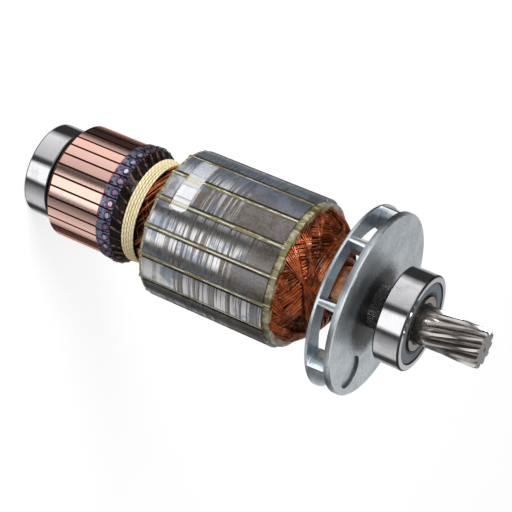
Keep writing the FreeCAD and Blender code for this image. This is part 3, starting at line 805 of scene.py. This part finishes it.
@dataclass(frozen=True)
class WedgeFibre(Finish):
    """Varnished slot wedge: olive crown with a painted highlight line, painted shade against the teeth,
    milled bright where the cut crosses it.
    """

    olive: Colour = (0.19, 0.165, 0.06)
    shade: Colour = (0.085, 0.075, 0.025)
    dust: Colour = (0.50, 0.46, 0.30)
    # Colour of the painted highlight along the crown.
    gleam: Colour = (0.80, 0.78, 0.66)
    # Colour of the painted shade against the teeth.
    dark: Colour = (0.02, 0.018, 0.012)
    sawn: Colour = (0.64, 0.61, 0.50)
    steel: Colour = (0.66, 0.67, 0.69)
    cut_z: Pair = (51.25, 56.55)
    mouth_z: Pair = (47.6, 86.7)
    surface_r: float = 22.0
    mouth_half: float = 0.75

    def paint(self, s: Surface) -> None:
        """Add the cloud, the dust, the painted highlight on the crown, the painted shade along the edges and
        the part laid bare by the cut.

        Args:
            s: Surface to add to.
        """
        off = s.steps(SLOT_FIRST_DEG, SLOT_COUNT)[1]
        across = (off * (math.radians(1) * self.surface_r)).size()
        cloud = s.noise(0.5, 4, 0.65, (1, 1, 0.35))
        lumps = s.noise(0.9, 4, 0.6, (1, 1, 0.5))
        in_cut = s.z.within(*self.cut_z, 0.04) * s.radius.below(self.surface_r - 0.1, self.surface_r + 0.1)
        slotted = s.z.within(*self.mouth_z, 0.05) * (1 - in_cut)
        bared = in_cut * across.above(self.mouth_half + 0.1, self.mouth_half + 0.2)
        s.close(
            self.olive,
            (cloud.above(0.38, 0.62), self.shade),
            (lumps.above(0.56, 0.70) * 0.7, self.dust),
            # Painted highlight: a pale line along the crown.
            (across.below(0.10, 0.22) * cloud.above(0.44, 0.54) * 0.8, self.gleam),
            # Painted shade along the edges against the teeth.
            (across.above(0.44, self.mouth_half - 0.1) * slotted * 0.9, self.dark),
            (in_cut * 0.8, self.sawn),
            (bared, self.steel),
            Metallic=bared * 0.6,
            Roughness=0.24 + cloud * 0.14 + bared * 0.2,
            Coat_Weight=0.9 - bared * 0.9,
            Coat_Roughness=0.06,
            Normal=s.relief(lumps, 0.16),
        )


@dataclass(frozen=True)
class EndFibre(Finish):
    """Varnished end disc: cream and olive layers, a few tan blocks and dark joints at the slots."""

    cream: Colour = (0.41, 0.38, 0.26)
    olive: Colour = (0.17, 0.155, 0.075)
    tan: Colour = (0.46, 0.32, 0.17)
    dark: Colour = (0.06, 0.05, 0.03)

    def paint(self, s: Surface) -> None:
        """Add the layers, the blocks and the joints.

        Args:
            s: Surface to add to.
        """
        slot, off = s.steps(SLOT_FIRST_DEG, SLOT_COUNT)
        cloud = s.noise(0.55, 5, 0.7)
        lumps = s.noise(0.9, 4, 0.65)
        block = (s.chance(slot + 2) > 0.62) * off.size().below(3.6, 4.2)
        joint = off.size().within(3.3, 4.3, 0.3) * lumps.above(0.35, 0.55)
        dirt = s.noise(1.7, 4, 0.7).above(0.58, 0.68)
        s.close(
            self.olive,
            (cloud.above(0.40, 0.58), self.cream),
            (block * 0.8, self.tan),
            ((joint * 0.7 + dirt * 0.6).above(0, 1), self.dark),
            Roughness=0.30 + cloud * 0.2,
            Coat_Weight=lumps.above(0.4, 0.6) * 0.7,
            Coat_Roughness=0.08,
            Normal=s.relief(lumps, 0.35),
        )


@dataclass(frozen=True)
class EnamelledWire(Finish):
    """Copper wire under baked enamel, with resin over it in places, painted as pale glints, and a tone of its
    own for each wire that also carries painted shade.
    """

    colour: Colour = (0.47, 0.105, 0.027)
    # Colour underneath, which shows as painted shade between the bundles and on the deeper wires.
    dark: Colour = (0.022, 0.005, 0.002)
    # Colour of the resin, painted as pale glints.
    resin: Colour = (0.62, 0.52, 0.52)
    metallic: float = 0.7
    shade: float = 0.72

    def paint(self, s: Surface) -> None:
        """Give each wire its tone, and add painted shade and the resin's painted glints.

        Args:
            s: Surface to add to.
        """
        tone = s.tone()
        cloud = s.noise(0.45, 3, 0.6)
        # Painted shade: large dark patches between the bundles.
        shaded = s.noise(0.20, 3, 0.6).above(0.46, 0.60)
        # Resin painted as pale glints on the lighter wires.
        resin = s.noise(1.15, 3, 0.6).above(0.655, 0.69) * (tone > 0.55)
        s.close(
            self.dark,
            ((tone * 0.9 + cloud * 0.4).above(0.42, 1.10), self.colour),
            (shaded * self.shade, self.dark),
            (resin * 0.7, self.resin),
            Metallic=self.metallic - resin * 0.3,
            Specular_Tint=(1.0, 0.55, 0.35),
            Roughness=0.22 + cloud * 0.12,
            Coat_Weight=cloud.above(0.50, 0.58) * 0.8,
            Coat_Roughness=0.03,
            Normal=s.relief(s.noise(1.5, 2), 0.03),
        )


@dataclass(frozen=True)
class Twine(Finish):
    """Waxed cotton cord, cream, with one yellower strand in three and wax between them."""

    cream: Colour = (0.93, 0.86, 0.62)
    yellow: Colour = (0.72, 0.56, 0.25)
    wax: Colour = (0.72, 0.58, 0.28)

    def paint(self, s: Surface) -> None:
        """Give each strand its tone, and add fibres and wax.

        Args:
            s: Surface to add to.
        """
        fibres = s.noise(4.0, 3, stretch=(1, 1, 2.5))
        waxed = fibres.above(0.52, 0.78) * 0.45 + s.noise(0.5, 3).above(0.5, 0.7) * 0.25
        s.close(
            self.cream,
            (s.tone(), self.yellow),
            (waxed, self.wax),
            Roughness=0.6 + fibres * 0.2,
            Normal=s.relief(fibres, 0.05),
        )


@dataclass(frozen=True)
class Seal(Finish):
    """Moulded rubber seal with painted shade at its lip and its rim, and a faint step between."""

    rubber: Colour = (0.105, 0.130, 0.155)
    dusty: Colour = (0.165, 0.195, 0.225)
    # Colour of the painted shade at the lip and the rim.
    painted_shade: Colour = (0.008, 0.008, 0.009)
    lip_r: float = 8.95
    rim_r: float = 11.75

    def paint(self, s: Surface) -> None:
        """Add the rings of painted shade by their radius, and a dusty cloud.

        Args:
            s: Surface to add to.
        """
        cloud = s.noise(0.7, 4, 0.65)
        dust = s.noise(3.0, 3)
        # Painted shade: dark rings at the lip and at the rim.
        rings = s.radius.below(self.lip_r - 0.1, self.lip_r + 0.15) + s.radius.above(
            self.rim_r - 0.1, self.rim_r + 0.05)
        step = s.radius.within(self.lip_r + 0.6, self.rim_r - 0.5, 0.15)
        s.close(
            self.rubber,
            (cloud.above(0.35, 0.7) * 0.6, self.dusty),
            (rings.above(0, 1) * 0.95, self.painted_shade),
            Roughness=0.42 + cloud * 0.2,
            Normal=s.relief(dust * 0.2 + step, 0.08),
        )


FINISHES = {finish.name: finish for finish in (
    PinionSteel("shaft_steel"),
    Coated("amber_insulation", (0.52, 0.22, 0.045), (0.16, 0.038, 0.014), spots=0.22, stretch=(1, 1, 0.6),
           roughness=0.28, coat=0.6, lump=0.06, lump_scale=0.8, speck=(0.46, 0.28, 0.16)),
    Coated("phenolic", (0.012, 0.009, 0.008), (0.03, 0.02, 0.015), spots=0.7, roughness=0.6, lump_scale=2.0,
           speck=(0.05, 0.035, 0.025), shine=0.2),
    Commutator("bar_copper"),
    Coated("mica", (0.06, 0.022, 0.012), (0.025, 0.010, 0.007), spots=1.2, stretch=(1, 1, 0.3), roughness=0.7,
           lump=0.04, lump_scale=2.0, shine=0.2),
    StudMetal("tinted_copper"),
    Coated("lead_wire", (0.13, 0.055, 0.032), (0.004, 0.003, 0.003), spots=0.75, coat=0.2, lump=0.3,
           lump_scale=1.5, metallic=0.3, shine=0.3, tones=(0.46, 0.54)),
    Coated("black_resin", (0.002, 0.0017, 0.0017), (0.007, 0.004, 0.0035), spots=0.8, roughness=0.32,
           coat=0.15, lump=1.6, lump_scale=1.1, speck=(0.05, 0.024, 0.015), shine=0.08),
    Twine("cord"),
    EnamelledWire("enamelled_wire"),
    EnamelledWire("rear_wire", (0.66, 0.175, 0.045), (0.05, 0.009, 0.004)),
    EndFibre("end_fibre"),
    Laminations("lamination_steel"),
    Coated("slot_paper", (0.40, 0.36, 0.20), (0.25, 0.22, 0.10), stretch=(1, 1, 0.5), roughness=0.45,
           coat=0.3, lump=0.05),
    Coated("slot_winding", (0.30, 0.08, 0.03), (0.16, 0.04, 0.02), spots=1.5, stretch=(1, 1, 0.1),
           roughness=0.35, coat=0.3, lump=0.06, lump_scale=2.0, metallic=0.6),
    Coated("dark_core", (0.035, 0.008, 0.004), (0.07, 0.016, 0.006), spots=0.8, stretch=(1, 1, 0.4),
           roughness=0.6, lump=0.2, lump_scale=1.1, shine=0.2),
    WedgeFibre("wedge_fibre"),
    CastAlloy("cast_fan"),
    GroundSteel("bearing_steel"),
    GroundSteel("ball_steel", roughness=0.08, stain_share=0.0),
    GroundSteel("cage_steel", colour=(0.5, 0.5, 0.5), roughness=0.3),
    GroundSteel("inner_ring_steel", colour=(0.27, 0.25, 0.225), stain=(0.06, 0.045, 0.035), roughness=0.2,
                stain_share=1.0, rust_share=0.9, corner_from_r=7.9, corner_h=0.5),
    Seal("seal_rubber"),
)}

# Nodes painted darker than the material slot that the record gives them: the winding heads, whose cores stand
# for painted shade, and the bearings' inner rings.
DARKER = {
    "rear_winding_head": "dark_core",
    "front_winding_head": "dark_core",
    "rear_bearing_inner_ring": "inner_ring_steel",
    "front_bearing_inner_ring": "inner_ring_steel",
}


def wear(obj: bpy.types.Object, finish: str) -> None:
    """Give an object the material of one finish."""
    obj.data.materials.clear()
    obj.data.materials.append(FINISHES[finish].material())


def finish_of(node: str) -> str:
    """Name of the finish that a CAD node wears."""
    return DARKER.get(node, SLOTS[node])


def add_object(name: str, data: bpy.types.ID) -> bpy.types.Object:
    """Put a new object in the scene.

    Args:
        name: Name of the object.
        data: Its mesh, light or camera.

    Returns:
        The object.
    """
    added = bpy.data.objects.new(name, data)
    bpy.context.scene.collection.objects.link(added)
    return added


def evaluated(obj: bpy.types.Object) -> bpy.types.Mesh:
    """Plain mesh of an object as its modifiers leave it."""
    graph = bpy.context.evaluated_depsgraph_get()
    return bpy.data.meshes.new_from_object(obj.evaluated_get(graph), depsgraph=graph)


def declare(body: Body, node: str, *pieces: bpy.types.Object) -> tuple[bpy.types.Object, ...]:
    """Attach new pieces to the body that they ride on, and hide the CAD node that they stand for.

    Args:
        body: Body that they ride on.
        node: CAD node that they stand for.
        pieces: The pieces.

    Returns:
        The same pieces.
    """
    for piece in pieces:
        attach(piece, body.value)
        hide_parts(node)
    return pieces


@dataclass
class SmoothedPart:
    """Merged copy of a CAD node, shaded smooth across its facets, that stands in for the node."""

    node: str
    body: Body
    crease_deg: float = 32.0
    merge: float = 1e-6
    sliver: float = 1e-7

    def build(self) -> tuple[bpy.types.Object, ...]:
        """Returns:
            The one new piece.
        """
        mesh = bpy.data.meshes.new(f"{self.node}_skin")
        work = bmesh.new()
        work.from_mesh(frame["nodes"][self.node].data)
        bmesh.ops.remove_doubles(work, verts=work.verts, dist=self.merge)
        bmesh.ops.dissolve_degenerate(work, edges=work.edges, dist=self.sliver)
        work.to_mesh(mesh)
        work.free()
        if "custom_normal" in mesh.attributes:
            mesh.attributes.remove(mesh.attributes["custom_normal"])
        mesh.shade_smooth()
        mesh.set_sharp_from_angle(angle=math.radians(self.crease_deg))
        piece = add_object(f"{self.node}_skin", mesh)
        self._weigh(piece)
        wear(piece, finish_of(self.node))
        return declare(self.body, self.node, piece)

    def _weigh(self, piece: bpy.types.Object) -> None:
        """Keep the broad faces flat in the shading, and let the narrow ones take the turn between them.

        Args:
            piece: Piece to shade.
        """
        modifier = piece.modifiers.new("weights", "WEIGHTED_NORMAL")
        modifier.keep_sharp = True
        flat = evaluated(piece)
        piece.modifiers.clear()
        flat.name = piece.name
        piece.data = flat


class WireTree(Tree):
    """Geometry tree that turns points in rows into round wires."""

    SIDES = 5

    def __init__(self, name: str, sizes: dict[str, float], closed: bool = False) -> None:
        """Start a tree with one named input for each size.

        Args:
            name: Name of the tree and of the piece that it makes.
            sizes: Value of each input, with at least Wires, Points and Wire radius.
            closed: Whether each wire closes on itself.
        """
        super().__init__(bpy.data.node_groups.new(name, "GeometryNodeTree"))
        self.name = name
        self.sizes = sizes
        self.closed = closed
        self.nodes.interface.new_socket("Geometry", in_out="OUTPUT", socket_type="NodeSocketGeometry")
        self.keys: dict[str, str] = {}
        for size, value in sizes.items():
            kind = "NodeSocketInt" if isinstance(value, int) else "NodeSocketFloat"
            socket = self.nodes.interface.new_socket(size, in_out="INPUT", socket_type=kind)
            self.keys[size] = socket.identifier
        self.inputs = self.node("NodeGroupInput")
        index = self.make("GeometryNodeInputIndex")
        count = self.size_of("Points")
        self.row = (index / count).floor()
        self.step = index - self.row * count
        self.share = self.step / (count if closed else count - 1)

    def size_of(self, name: str) -> Socket:
        """Value of a named input."""
        return Socket(self, self.inputs.outputs[name])

    def chance(self, low: float, high: float, seed: int) -> Socket:
        """Random number between two values that is the same all along a wire."""
        return self.make("FunctionNodeRandomValue", {"data_type": "FLOAT"}, {
            "Min": low, "Max": high, "ID": self.row, "Seed": seed})

    def grow(self, radius: Socket, degrees: Socket, height: Socket, tone: Socket,
             finish: str) -> bpy.types.Object:
        """End the tree and evaluate it into a plain mesh object.

        Args:
            radius: Distance of each point from the axis, in millimetres.
            degrees: Angle of each point round the axis.
            height: Height of each point, in millimetres.
            tone: Shade of the point's wire, kept as an attribute.
            finish: Name of the wires' finish.

        Returns:
            The piece, with no modifier left on it.
        """
        angle = degrees * math.radians(1)
        place = self.make("ShaderNodeCombineXYZ", {}, {
            0: radius * angle.cosine() * MM, 1: radius * angle.sine() * MM, 2: height * MM})
        ring = self.make("GeometryNodeCurvePrimitiveCircle", {}, {
            "Resolution": self.SIDES, "Radius": self.size_of("Wire radius") * MM})
        made = self.make("GeometryNodePoints", {}, {
            "Count": self.size_of("Wires") * self.size_of("Points"), "Position": place})
        for kind, inlet, inputs in (
            ("GeometryNodeStoreNamedAttribute", "Geometry", {"Name": "tone", "Value": tone}),
            ("GeometryNodePointsToCurves", "Points", {"Curve Group ID": self.row, "Weight": self.step}),
            ("GeometryNodeSetSplineCyclic", "Geometry", {"Cyclic": self.closed}),
            ("GeometryNodeCurveToMesh", "Curve", {"Profile Curve": ring, "Fill Caps": not self.closed}),
            ("GeometryNodeSetShadeSmooth", "Geometry", {"Shade Smooth": True}),
            ("GeometryNodeRealizeInstances", "Geometry", {}),
            ("GeometryNodeSetMaterial", "Geometry", {"Material": FINISHES[finish].material()}),
        ):
            made = self.make(kind, {}, {inlet: made, **inputs})
        self.node("NodeGroupOutput", {}, {0: made})
        return self._evaluate()

    def _evaluate(self) -> bpy.types.Object:
        """Turn the finished tree into a plain mesh object.

        Returns:
            The object.
        """
        holder = add_object(f"{self.name}_holder", bpy.data.meshes.new(f"{self.name}_holder"))
        modifier = holder.modifiers.new("wires", "NODES")
        modifier.node_group = self.nodes
        for size, value in self.sizes.items():
            modifier[self.keys[size]] = value
        mesh = evaluated(holder)
        holder.modifiers.clear()
        bpy.data.objects.remove(holder)
        mesh.name = self.name
        return add_object(self.name, mesh)


@dataclass
class WindingCore:
    """Bundle under a winding head's outer wires, dark as painted shade: a turned form, slightly inside the
    head.
    """

    name: str
    profile: tuple[Pair, ...]
    lobe_h: float = 0.5
    lobes: int = 16
    twist_deg: float = 34.0
    crease_deg: float = 50.0
    steps: int = 96

    def build(self) -> bpy.types.Object:
        """Make the core as a closed shell of rings.

        Returns:
            The new piece.
        """
        work = bmesh.new()
        rings = []
        low, high = self.profile[0][1], self.profile[-1][1]
        for radius, height in self.profile:
            twist = math.radians(self.twist_deg) * (height - low) / (high - low)
            rings.append([])
            for step in range(self.steps):
                angle = 2 * math.pi * step / self.steps
                reach = (radius + self.lobe_h * math.cos(self.lobes * (angle + twist))) * MM
                rings[-1].append(work.verts.new((
                    reach * math.cos(angle), reach * math.sin(angle), height * MM)))
        for lower, upper in zip(rings, rings[1:]):
            for step in range(self.steps):
                after = (step + 1) % self.steps
                work.faces.new((lower[step], lower[after], upper[after], upper[step]))
        work.faces.new(reversed(rings[0]))
        work.faces.new(rings[-1])
        bmesh.ops.triangulate(work, faces=work.faces)
        bmesh.ops.recalc_face_normals(work, faces=work.faces)
        mesh = bpy.data.meshes.new(self.name)
        work.to_mesh(mesh)
        work.free()
        mesh.shade_smooth()
        mesh.set_sharp_from_angle(angle=math.radians(self.crease_deg))
        piece = add_object(self.name, mesh)
        wear(piece, "dark_core")
        return piece


@dataclass
class FrontWindingHead:
    """Coil ends on the fan side: coils cross from slot to slot, each lying on the ones before."""

    coils: int = 16
    wires: int = 36
    layers: int = 4
    points: int = 22
    span_deg: float = 157.5
    foot_z: float = HEAD_FOOT_Z - 0.4
    rise: float = 10.9
    base_r: float = 20.1
    narrowing: float = 11.5
    bulge: float = 0.5
    sleeve_r: float = 7.7
    wire_r: float = 0.225
    layer: float = 0.15
    core: tuple[Pair, ...] = (
        (16.5, 88.4), (17.2, 89.5), (16.4, 91.5), (13.0, 94.8), (9.3, 97.6), (8.2, 98.6))

    def build(self) -> tuple[bpy.types.Object, ...]:
        """Returns:
            The two pieces.
        """
        tree = WireTree("front_head_wires", {
            "Wires": self.coils * self.wires, "Points": self.points, "Span": self.span_deg,
            "Rise": self.rise, "Wire radius": self.wire_r, "Layer": self.layer})
        coil = (tree.row / self.wires).floor()
        abreast = self.wires // self.layers
        wire = tree.row - coil * self.wires
        level = (wire / abreast).floor()
        side = (wire - level * abreast + (level % 2) * 0.5) * (2 / (abreast - 0.5)) - 1
        side = side + tree.chance(-0.06, 0.06, 3)
        depth = level * (1 / (self.layers - 1)) + tree.chance(0.0, 0.15, 7)
        loose = tree.chance(-1.0, 1.0, 13)
        stray = loose * loose * loose
        arch = (tree.share * math.pi).sine()
        order = (coil * 5.0) % self.coils
        under = (self.coils - 1 - order) * tree.size_of("Layer") * (0.35 + arch * 0.65)
        rise = tree.size_of("Rise") * (0.70 + order * (0.26 / self.coils)) + stray * 0.5
        lateral = side * (2.3 + arch * 0.4)
        wave = (tree.share * 9.0 + coil * 2.1).sine() * 0.25
        height = self.foot_z + rise * arch ** 0.7 + lateral * arch * 0.9 + wave * arch - depth * arch * 1.2
        reach = (height - self.foot_z) / (HEAD_TIP_Z - HEAD_FOOT_Z)
        envelope = self.base_r - self.narrowing * reach ** 1.6 + (reach * math.pi).sine() * self.bulge
        buried = envelope - under - depth * (0.8 + (1 - arch) * 1.6)
        run = tree.share + (tree.share * (2 * math.pi)).sine() * -0.045
        degrees = SLOT_FIRST_DEG + coil * (360 / self.coils) + tree.size_of("Span") * run
        degrees = degrees + lateral * (1 - arch * 0.75) * 4.0 + stray * 0.8 * arch
        # Painted shade: deeper wires and those at a bundle's sides get a darker tone.
        tone = (1 - depth * 0.75 - side * side * 0.4) * 0.75 + tree.chance(0.0, 0.4, 23)
        wires = tree.grow(buried.most(self.sleeve_r), degrees, height, tone, "enamelled_wire")
        core = WindingCore("front_head_core", self.core).build()
        return declare(Body.ROTOR, "front_winding_head", wires, core)


@dataclass
class RearWindingHead:
    """Coil ends on the commutator side: two families of wires that cross on their way to the cord."""

    wires: int = 140
    points: int = 12
    wire_r: float = 0.2
    from_z: float = 46.9
    to_z: float = 39.5
    from_r: float = 18.6
    to_r: float = 14.5
    belly: float = 0.6
    core: tuple[Pair, ...] = ((13.0, 39.8), (13.7, 41.0), (15.2, 43.5), (16.6, 46.5))

    def build(self) -> tuple[bpy.types.Object, ...]:
        """Returns:
            The two pieces.
        """
        tree = WireTree("rear_head_wires", {
            "Wires": self.wires, "Points": self.points, "Wire radius": self.wire_r})
        share = tree.share
        family = tree.chance(0.0, 1.0, 2) > 0.76
        slant = tree.chance(26.0, 44.0, 5) * (1 - family) - tree.chance(14.0, 34.0, 6) * family
        depth = tree.chance(0.0, 1.0, 8)
        height = self.from_z + share * (self.to_z - self.from_z)
        belly = (share * math.pi).sine() * self.belly
        radius = self.from_r + share * (self.to_r - self.from_r) + belly - depth * 1.3 - family * 0.5
        degrees = tree.chance(0.0, 360.0, 11) + slant * share
        # Painted shade: deeper wires get a darker tone.
        tone = (1 - depth) * 0.7 + tree.chance(0.0, 0.3, 17)
        wires = tree.grow(radius, degrees, height, tone, "rear_wire")
        core = WindingCore("rear_head_core", self.core, lobe_h=0.2).build()
        return declare(Body.ROTOR, "rear_winding_head", wires, core)


@dataclass
class BindingCord:
    """Five turns of three-strand twine wound over the coil leads."""

    turns: int = 5
    strands: int = 3
    points: int = 420
    twists: int = 58
    strand_r: float = 0.215
    twist_r: float = 0.185
    rear_r: float = 15.55
    front_r: float = 15.1

    def build(self) -> tuple[bpy.types.Object, ...]:
        """Returns:
            The one new piece.
        """
        tree = WireTree("binding_twine", {
            "Wires": self.turns * self.strands, "Points": self.points, "Twists": self.twists,
            "Wire radius": self.strand_r}, closed=True)
        turn = (tree.row / self.strands).floor()
        strand = tree.row - turn * self.strands
        phase = (tree.share * tree.size_of("Twists") + strand / self.strands + turn * 0.37) * (2 * math.pi)
        along = (turn + 0.5) / self.turns
        wander = (tree.share * (2 * math.pi) + turn).sine() * 0.05
        pitch = (CORD_TOP_Z - CORD_FOOT_Z) / self.turns
        height = CORD_FOOT_Z + pitch * (turn + 0.5) + phase.sine() * self.twist_r * 0.85 + wander
        radius = self.rear_r + along * (self.front_r - self.rear_r) + phase.cosine() * self.twist_r
        tone = (strand < 0.5) * 0.8 + tree.chance(0.0, 0.2, 31)
        twine = tree.grow(radius, tree.share * 360.0, height, tone, "cord")
        return declare(Body.ROTOR, "binding_cord", twine)


@dataclass(frozen=True)
class Panel:
    """Upright strip of the studio, by the direction where it starts, seen only in polished metal."""

    start: float
    tone: float
    tone_end: float
    soft: float


PANEL_SCALE = 0.4
PANELS = (
    Panel(17, 0.06, 0.06, 6),
    Panel(44, 0.40, 0.75, 4),
    Panel(79, 0.60, 0.50, 3),
    Panel(114, 0.045, 0.045, 5),
    Panel(172, 1.15, 0.75, 10),
    Panel(246, 0.07, 0.07, 4),
    Panel(263, 1.5, 1.5, 4),
    Panel(305, 0.08, 0.08, 4),
    Panel(321, 0.36, 0.60, 6),
    Panel(347, 0.80, 0.80, 6),
)


@dataclass
class Studio:
    """Pale floor, soft key light, panels seen in the metal, and the photograph's camera."""

    camera_at: Place = (-0.07094, -0.4369, 0.25775)
    camera_axes: tuple[Place, ...] = (
        (-0.326, 0.415, 0.8495), (-0.934, 0.0, -0.3583), (-0.149, -0.910, 0.3873))
    lens: float = 119.6
    sensor: float = 36.0
    clip: Pair = (0.01, 10.0)
    key_size: Pair = (0.30, 0.22)
    key_energy: float = 3.4
    key_at: Place = (-0.42, -0.46, 0.32)
    key_aim: Place = (0.0, 0.0, 0.075)
    fill: float = 0.62
    floor_size: float = 1.6
    floor_tone: float = 0.55
    floor_glow: float = 0.62

    def build(self) -> None:
        """Set the camera, the light, the world and the floor."""
        self._camera()
        self._key()
        self._world()
        self._floor()
        bpy.context.scene.view_settings.view_transform = "Standard"

    def _camera(self) -> None:
        """Place the camera by its three axes."""
        data = bpy.data.cameras.new("camera")
        data.lens = self.lens
        data.sensor_width = self.sensor
        data.clip_start, data.clip_end = self.clip
        camera = add_object("camera", data)
        turned = Matrix([Vector(axis).normalized() for axis in self.camera_axes]).transposed()
        camera.matrix_world = Matrix.Translation(self.camera_at) @ turned.to_4x4()
        bpy.context.scene.camera = camera

    def _key(self) -> None:
        """Hang one soft panel above the camera's left."""
        data = bpy.data.lights.new("key_panel", "AREA")
        data.shape = "RECTANGLE"
        data.size, data.size_y = self.key_size
        data.energy = self.key_energy
        light = add_object("key_panel", data)
        turned = (Vector(self.key_aim) - Vector(self.key_at)).to_track_quat("-Z", "Y")
        light.matrix_world = Matrix.Translation(self.key_at) @ turned.to_matrix().to_4x4()

    def _world(self) -> None:
        """White to the camera, upright soft panels and dark gaps to glossy metal, plain fill to the rest."""
        world = bpy.data.worlds.new("studio")
        bpy.context.scene.world = world
        world.use_nodes = True
        tree = Tree(world.node_tree)
        toward = tree.make("ShaderNodeTexCoord", out="Generated")
        east, north = tree.outputs("ShaderNodeSeparateXYZ", {0: toward}, 0, 1)
        around = (tree.math("ARCTAN2", north, east) * math.degrees(1)) % 360
        stops = []
        for before, panel in zip((PANELS[-1], *PANELS), PANELS):
            stops.append(((panel.start - panel.soft) / 360, (before.tone_end * PANEL_SCALE,) * 3))
            stops.append(((panel.start + panel.soft) / 360, (panel.tone * PANEL_SCALE,) * 3))
        tones = tree.make("ShaderNodeValToRGB", {"stops": tuple(stops)}, {"Fac": around / 360.0}, "Color")
        camera, glossy, through = tree.outputs(
            "ShaderNodeLightPath", None, "Is Camera Ray", "Is Glossy Ray", "Is Transmission Ray")
        panels, plain, white = (
            tree.make("ShaderNodeBackground", {}, {"Color": colour, "Strength": strength})
            for colour, strength in ((tones, 1 / PANEL_SCALE), (WHITE, self.fill), (WHITE, 1.0)))
        seen = tree.mix(camera + through, tree.mix(glossy, plain, panels), white)
        tree.node("ShaderNodeOutputWorld", {}, {"Surface": seen})

    def _floor(self) -> None:
        """Lay a pale sheet that keeps a faint shadow and glows to white elsewhere."""
        mesh = bpy.data.meshes.new("floor")
        half = self.floor_size
        mesh.from_pydata([(-half, -half, 0), (half, -half, 0), (half, half, 0), (-half, half, 0)], [],
                         [(0, 1, 2, 3)])
        floor = add_object("floor", mesh)
        material = bpy.data.materials.new("floor_paper")
        material.use_nodes = True
        tree = Tree(material.node_tree)
        paper = tree.make("ShaderNodeBsdfDiffuse", {}, {"Color": (self.floor_tone,) * 3})
        glow = tree.make("ShaderNodeEmission", {}, {"Color": WHITE, "Strength": self.floor_glow})
        both = tree.make("ShaderNodeAddShader", {}, {0: paper, 1: glow})
        camera = tree.make("ShaderNodeLightPath", out="Is Camera Ray")
        tree.node("ShaderNodeOutputMaterial", {}, {"Surface": tree.mix(camera, paper, both)})
        mesh.materials.append(material)
        floor.visible_glossy = False


CREASES = {"shaft": 21.0, "slot_wedges": 50.0}
SMOOTHED = tuple(
    SmoothedPart(node, body, CREASES.get(node, SmoothedPart.crease_deg))
    for body, *nodes in (
        (Body.ROTOR, "shaft", "shaft_sleeve", "commutator_moulding", "commutator_bars", "coil_wire_ends",
         "coil_leads", "resin_collar", "rear_end_fibre", "lamination_stack", "front_end_fibre", "slot_wedges",
         "cooling_fan", "rear_bearing_inner_ring", "front_bearing_inner_ring"),
        (Body.REAR_RACE, "rear_bearing_outer_ring"),
        (Body.FRONT_RACE, "front_bearing_outer_ring"),
        (Body.REAR_RACE, "rear_bearing_lower_seal"),
        (Body.FRONT_RACE, "front_bearing_upper_seal"),
        (Body.REAR_BALLS, "rear_bearing_balls"),
        (Body.FRONT_BALLS, "front_bearing_balls"),
    )
    for node in nodes
)


def main() -> None:
    """Build the studio and every sub-assembly in order."""
    logging.basicConfig(level=logging.INFO)
    Studio().build()
    for name, node in frame["nodes"].items():
        wear(node, finish_of(name))
    for part in (*SMOOTHED, FrontWindingHead(), RearWindingHead(), BindingCord()):
        for piece in part.build():
            log.info("%s: %d faces", piece.name, len(piece.data.polygons))


if __name__ == "__main__":
    main()
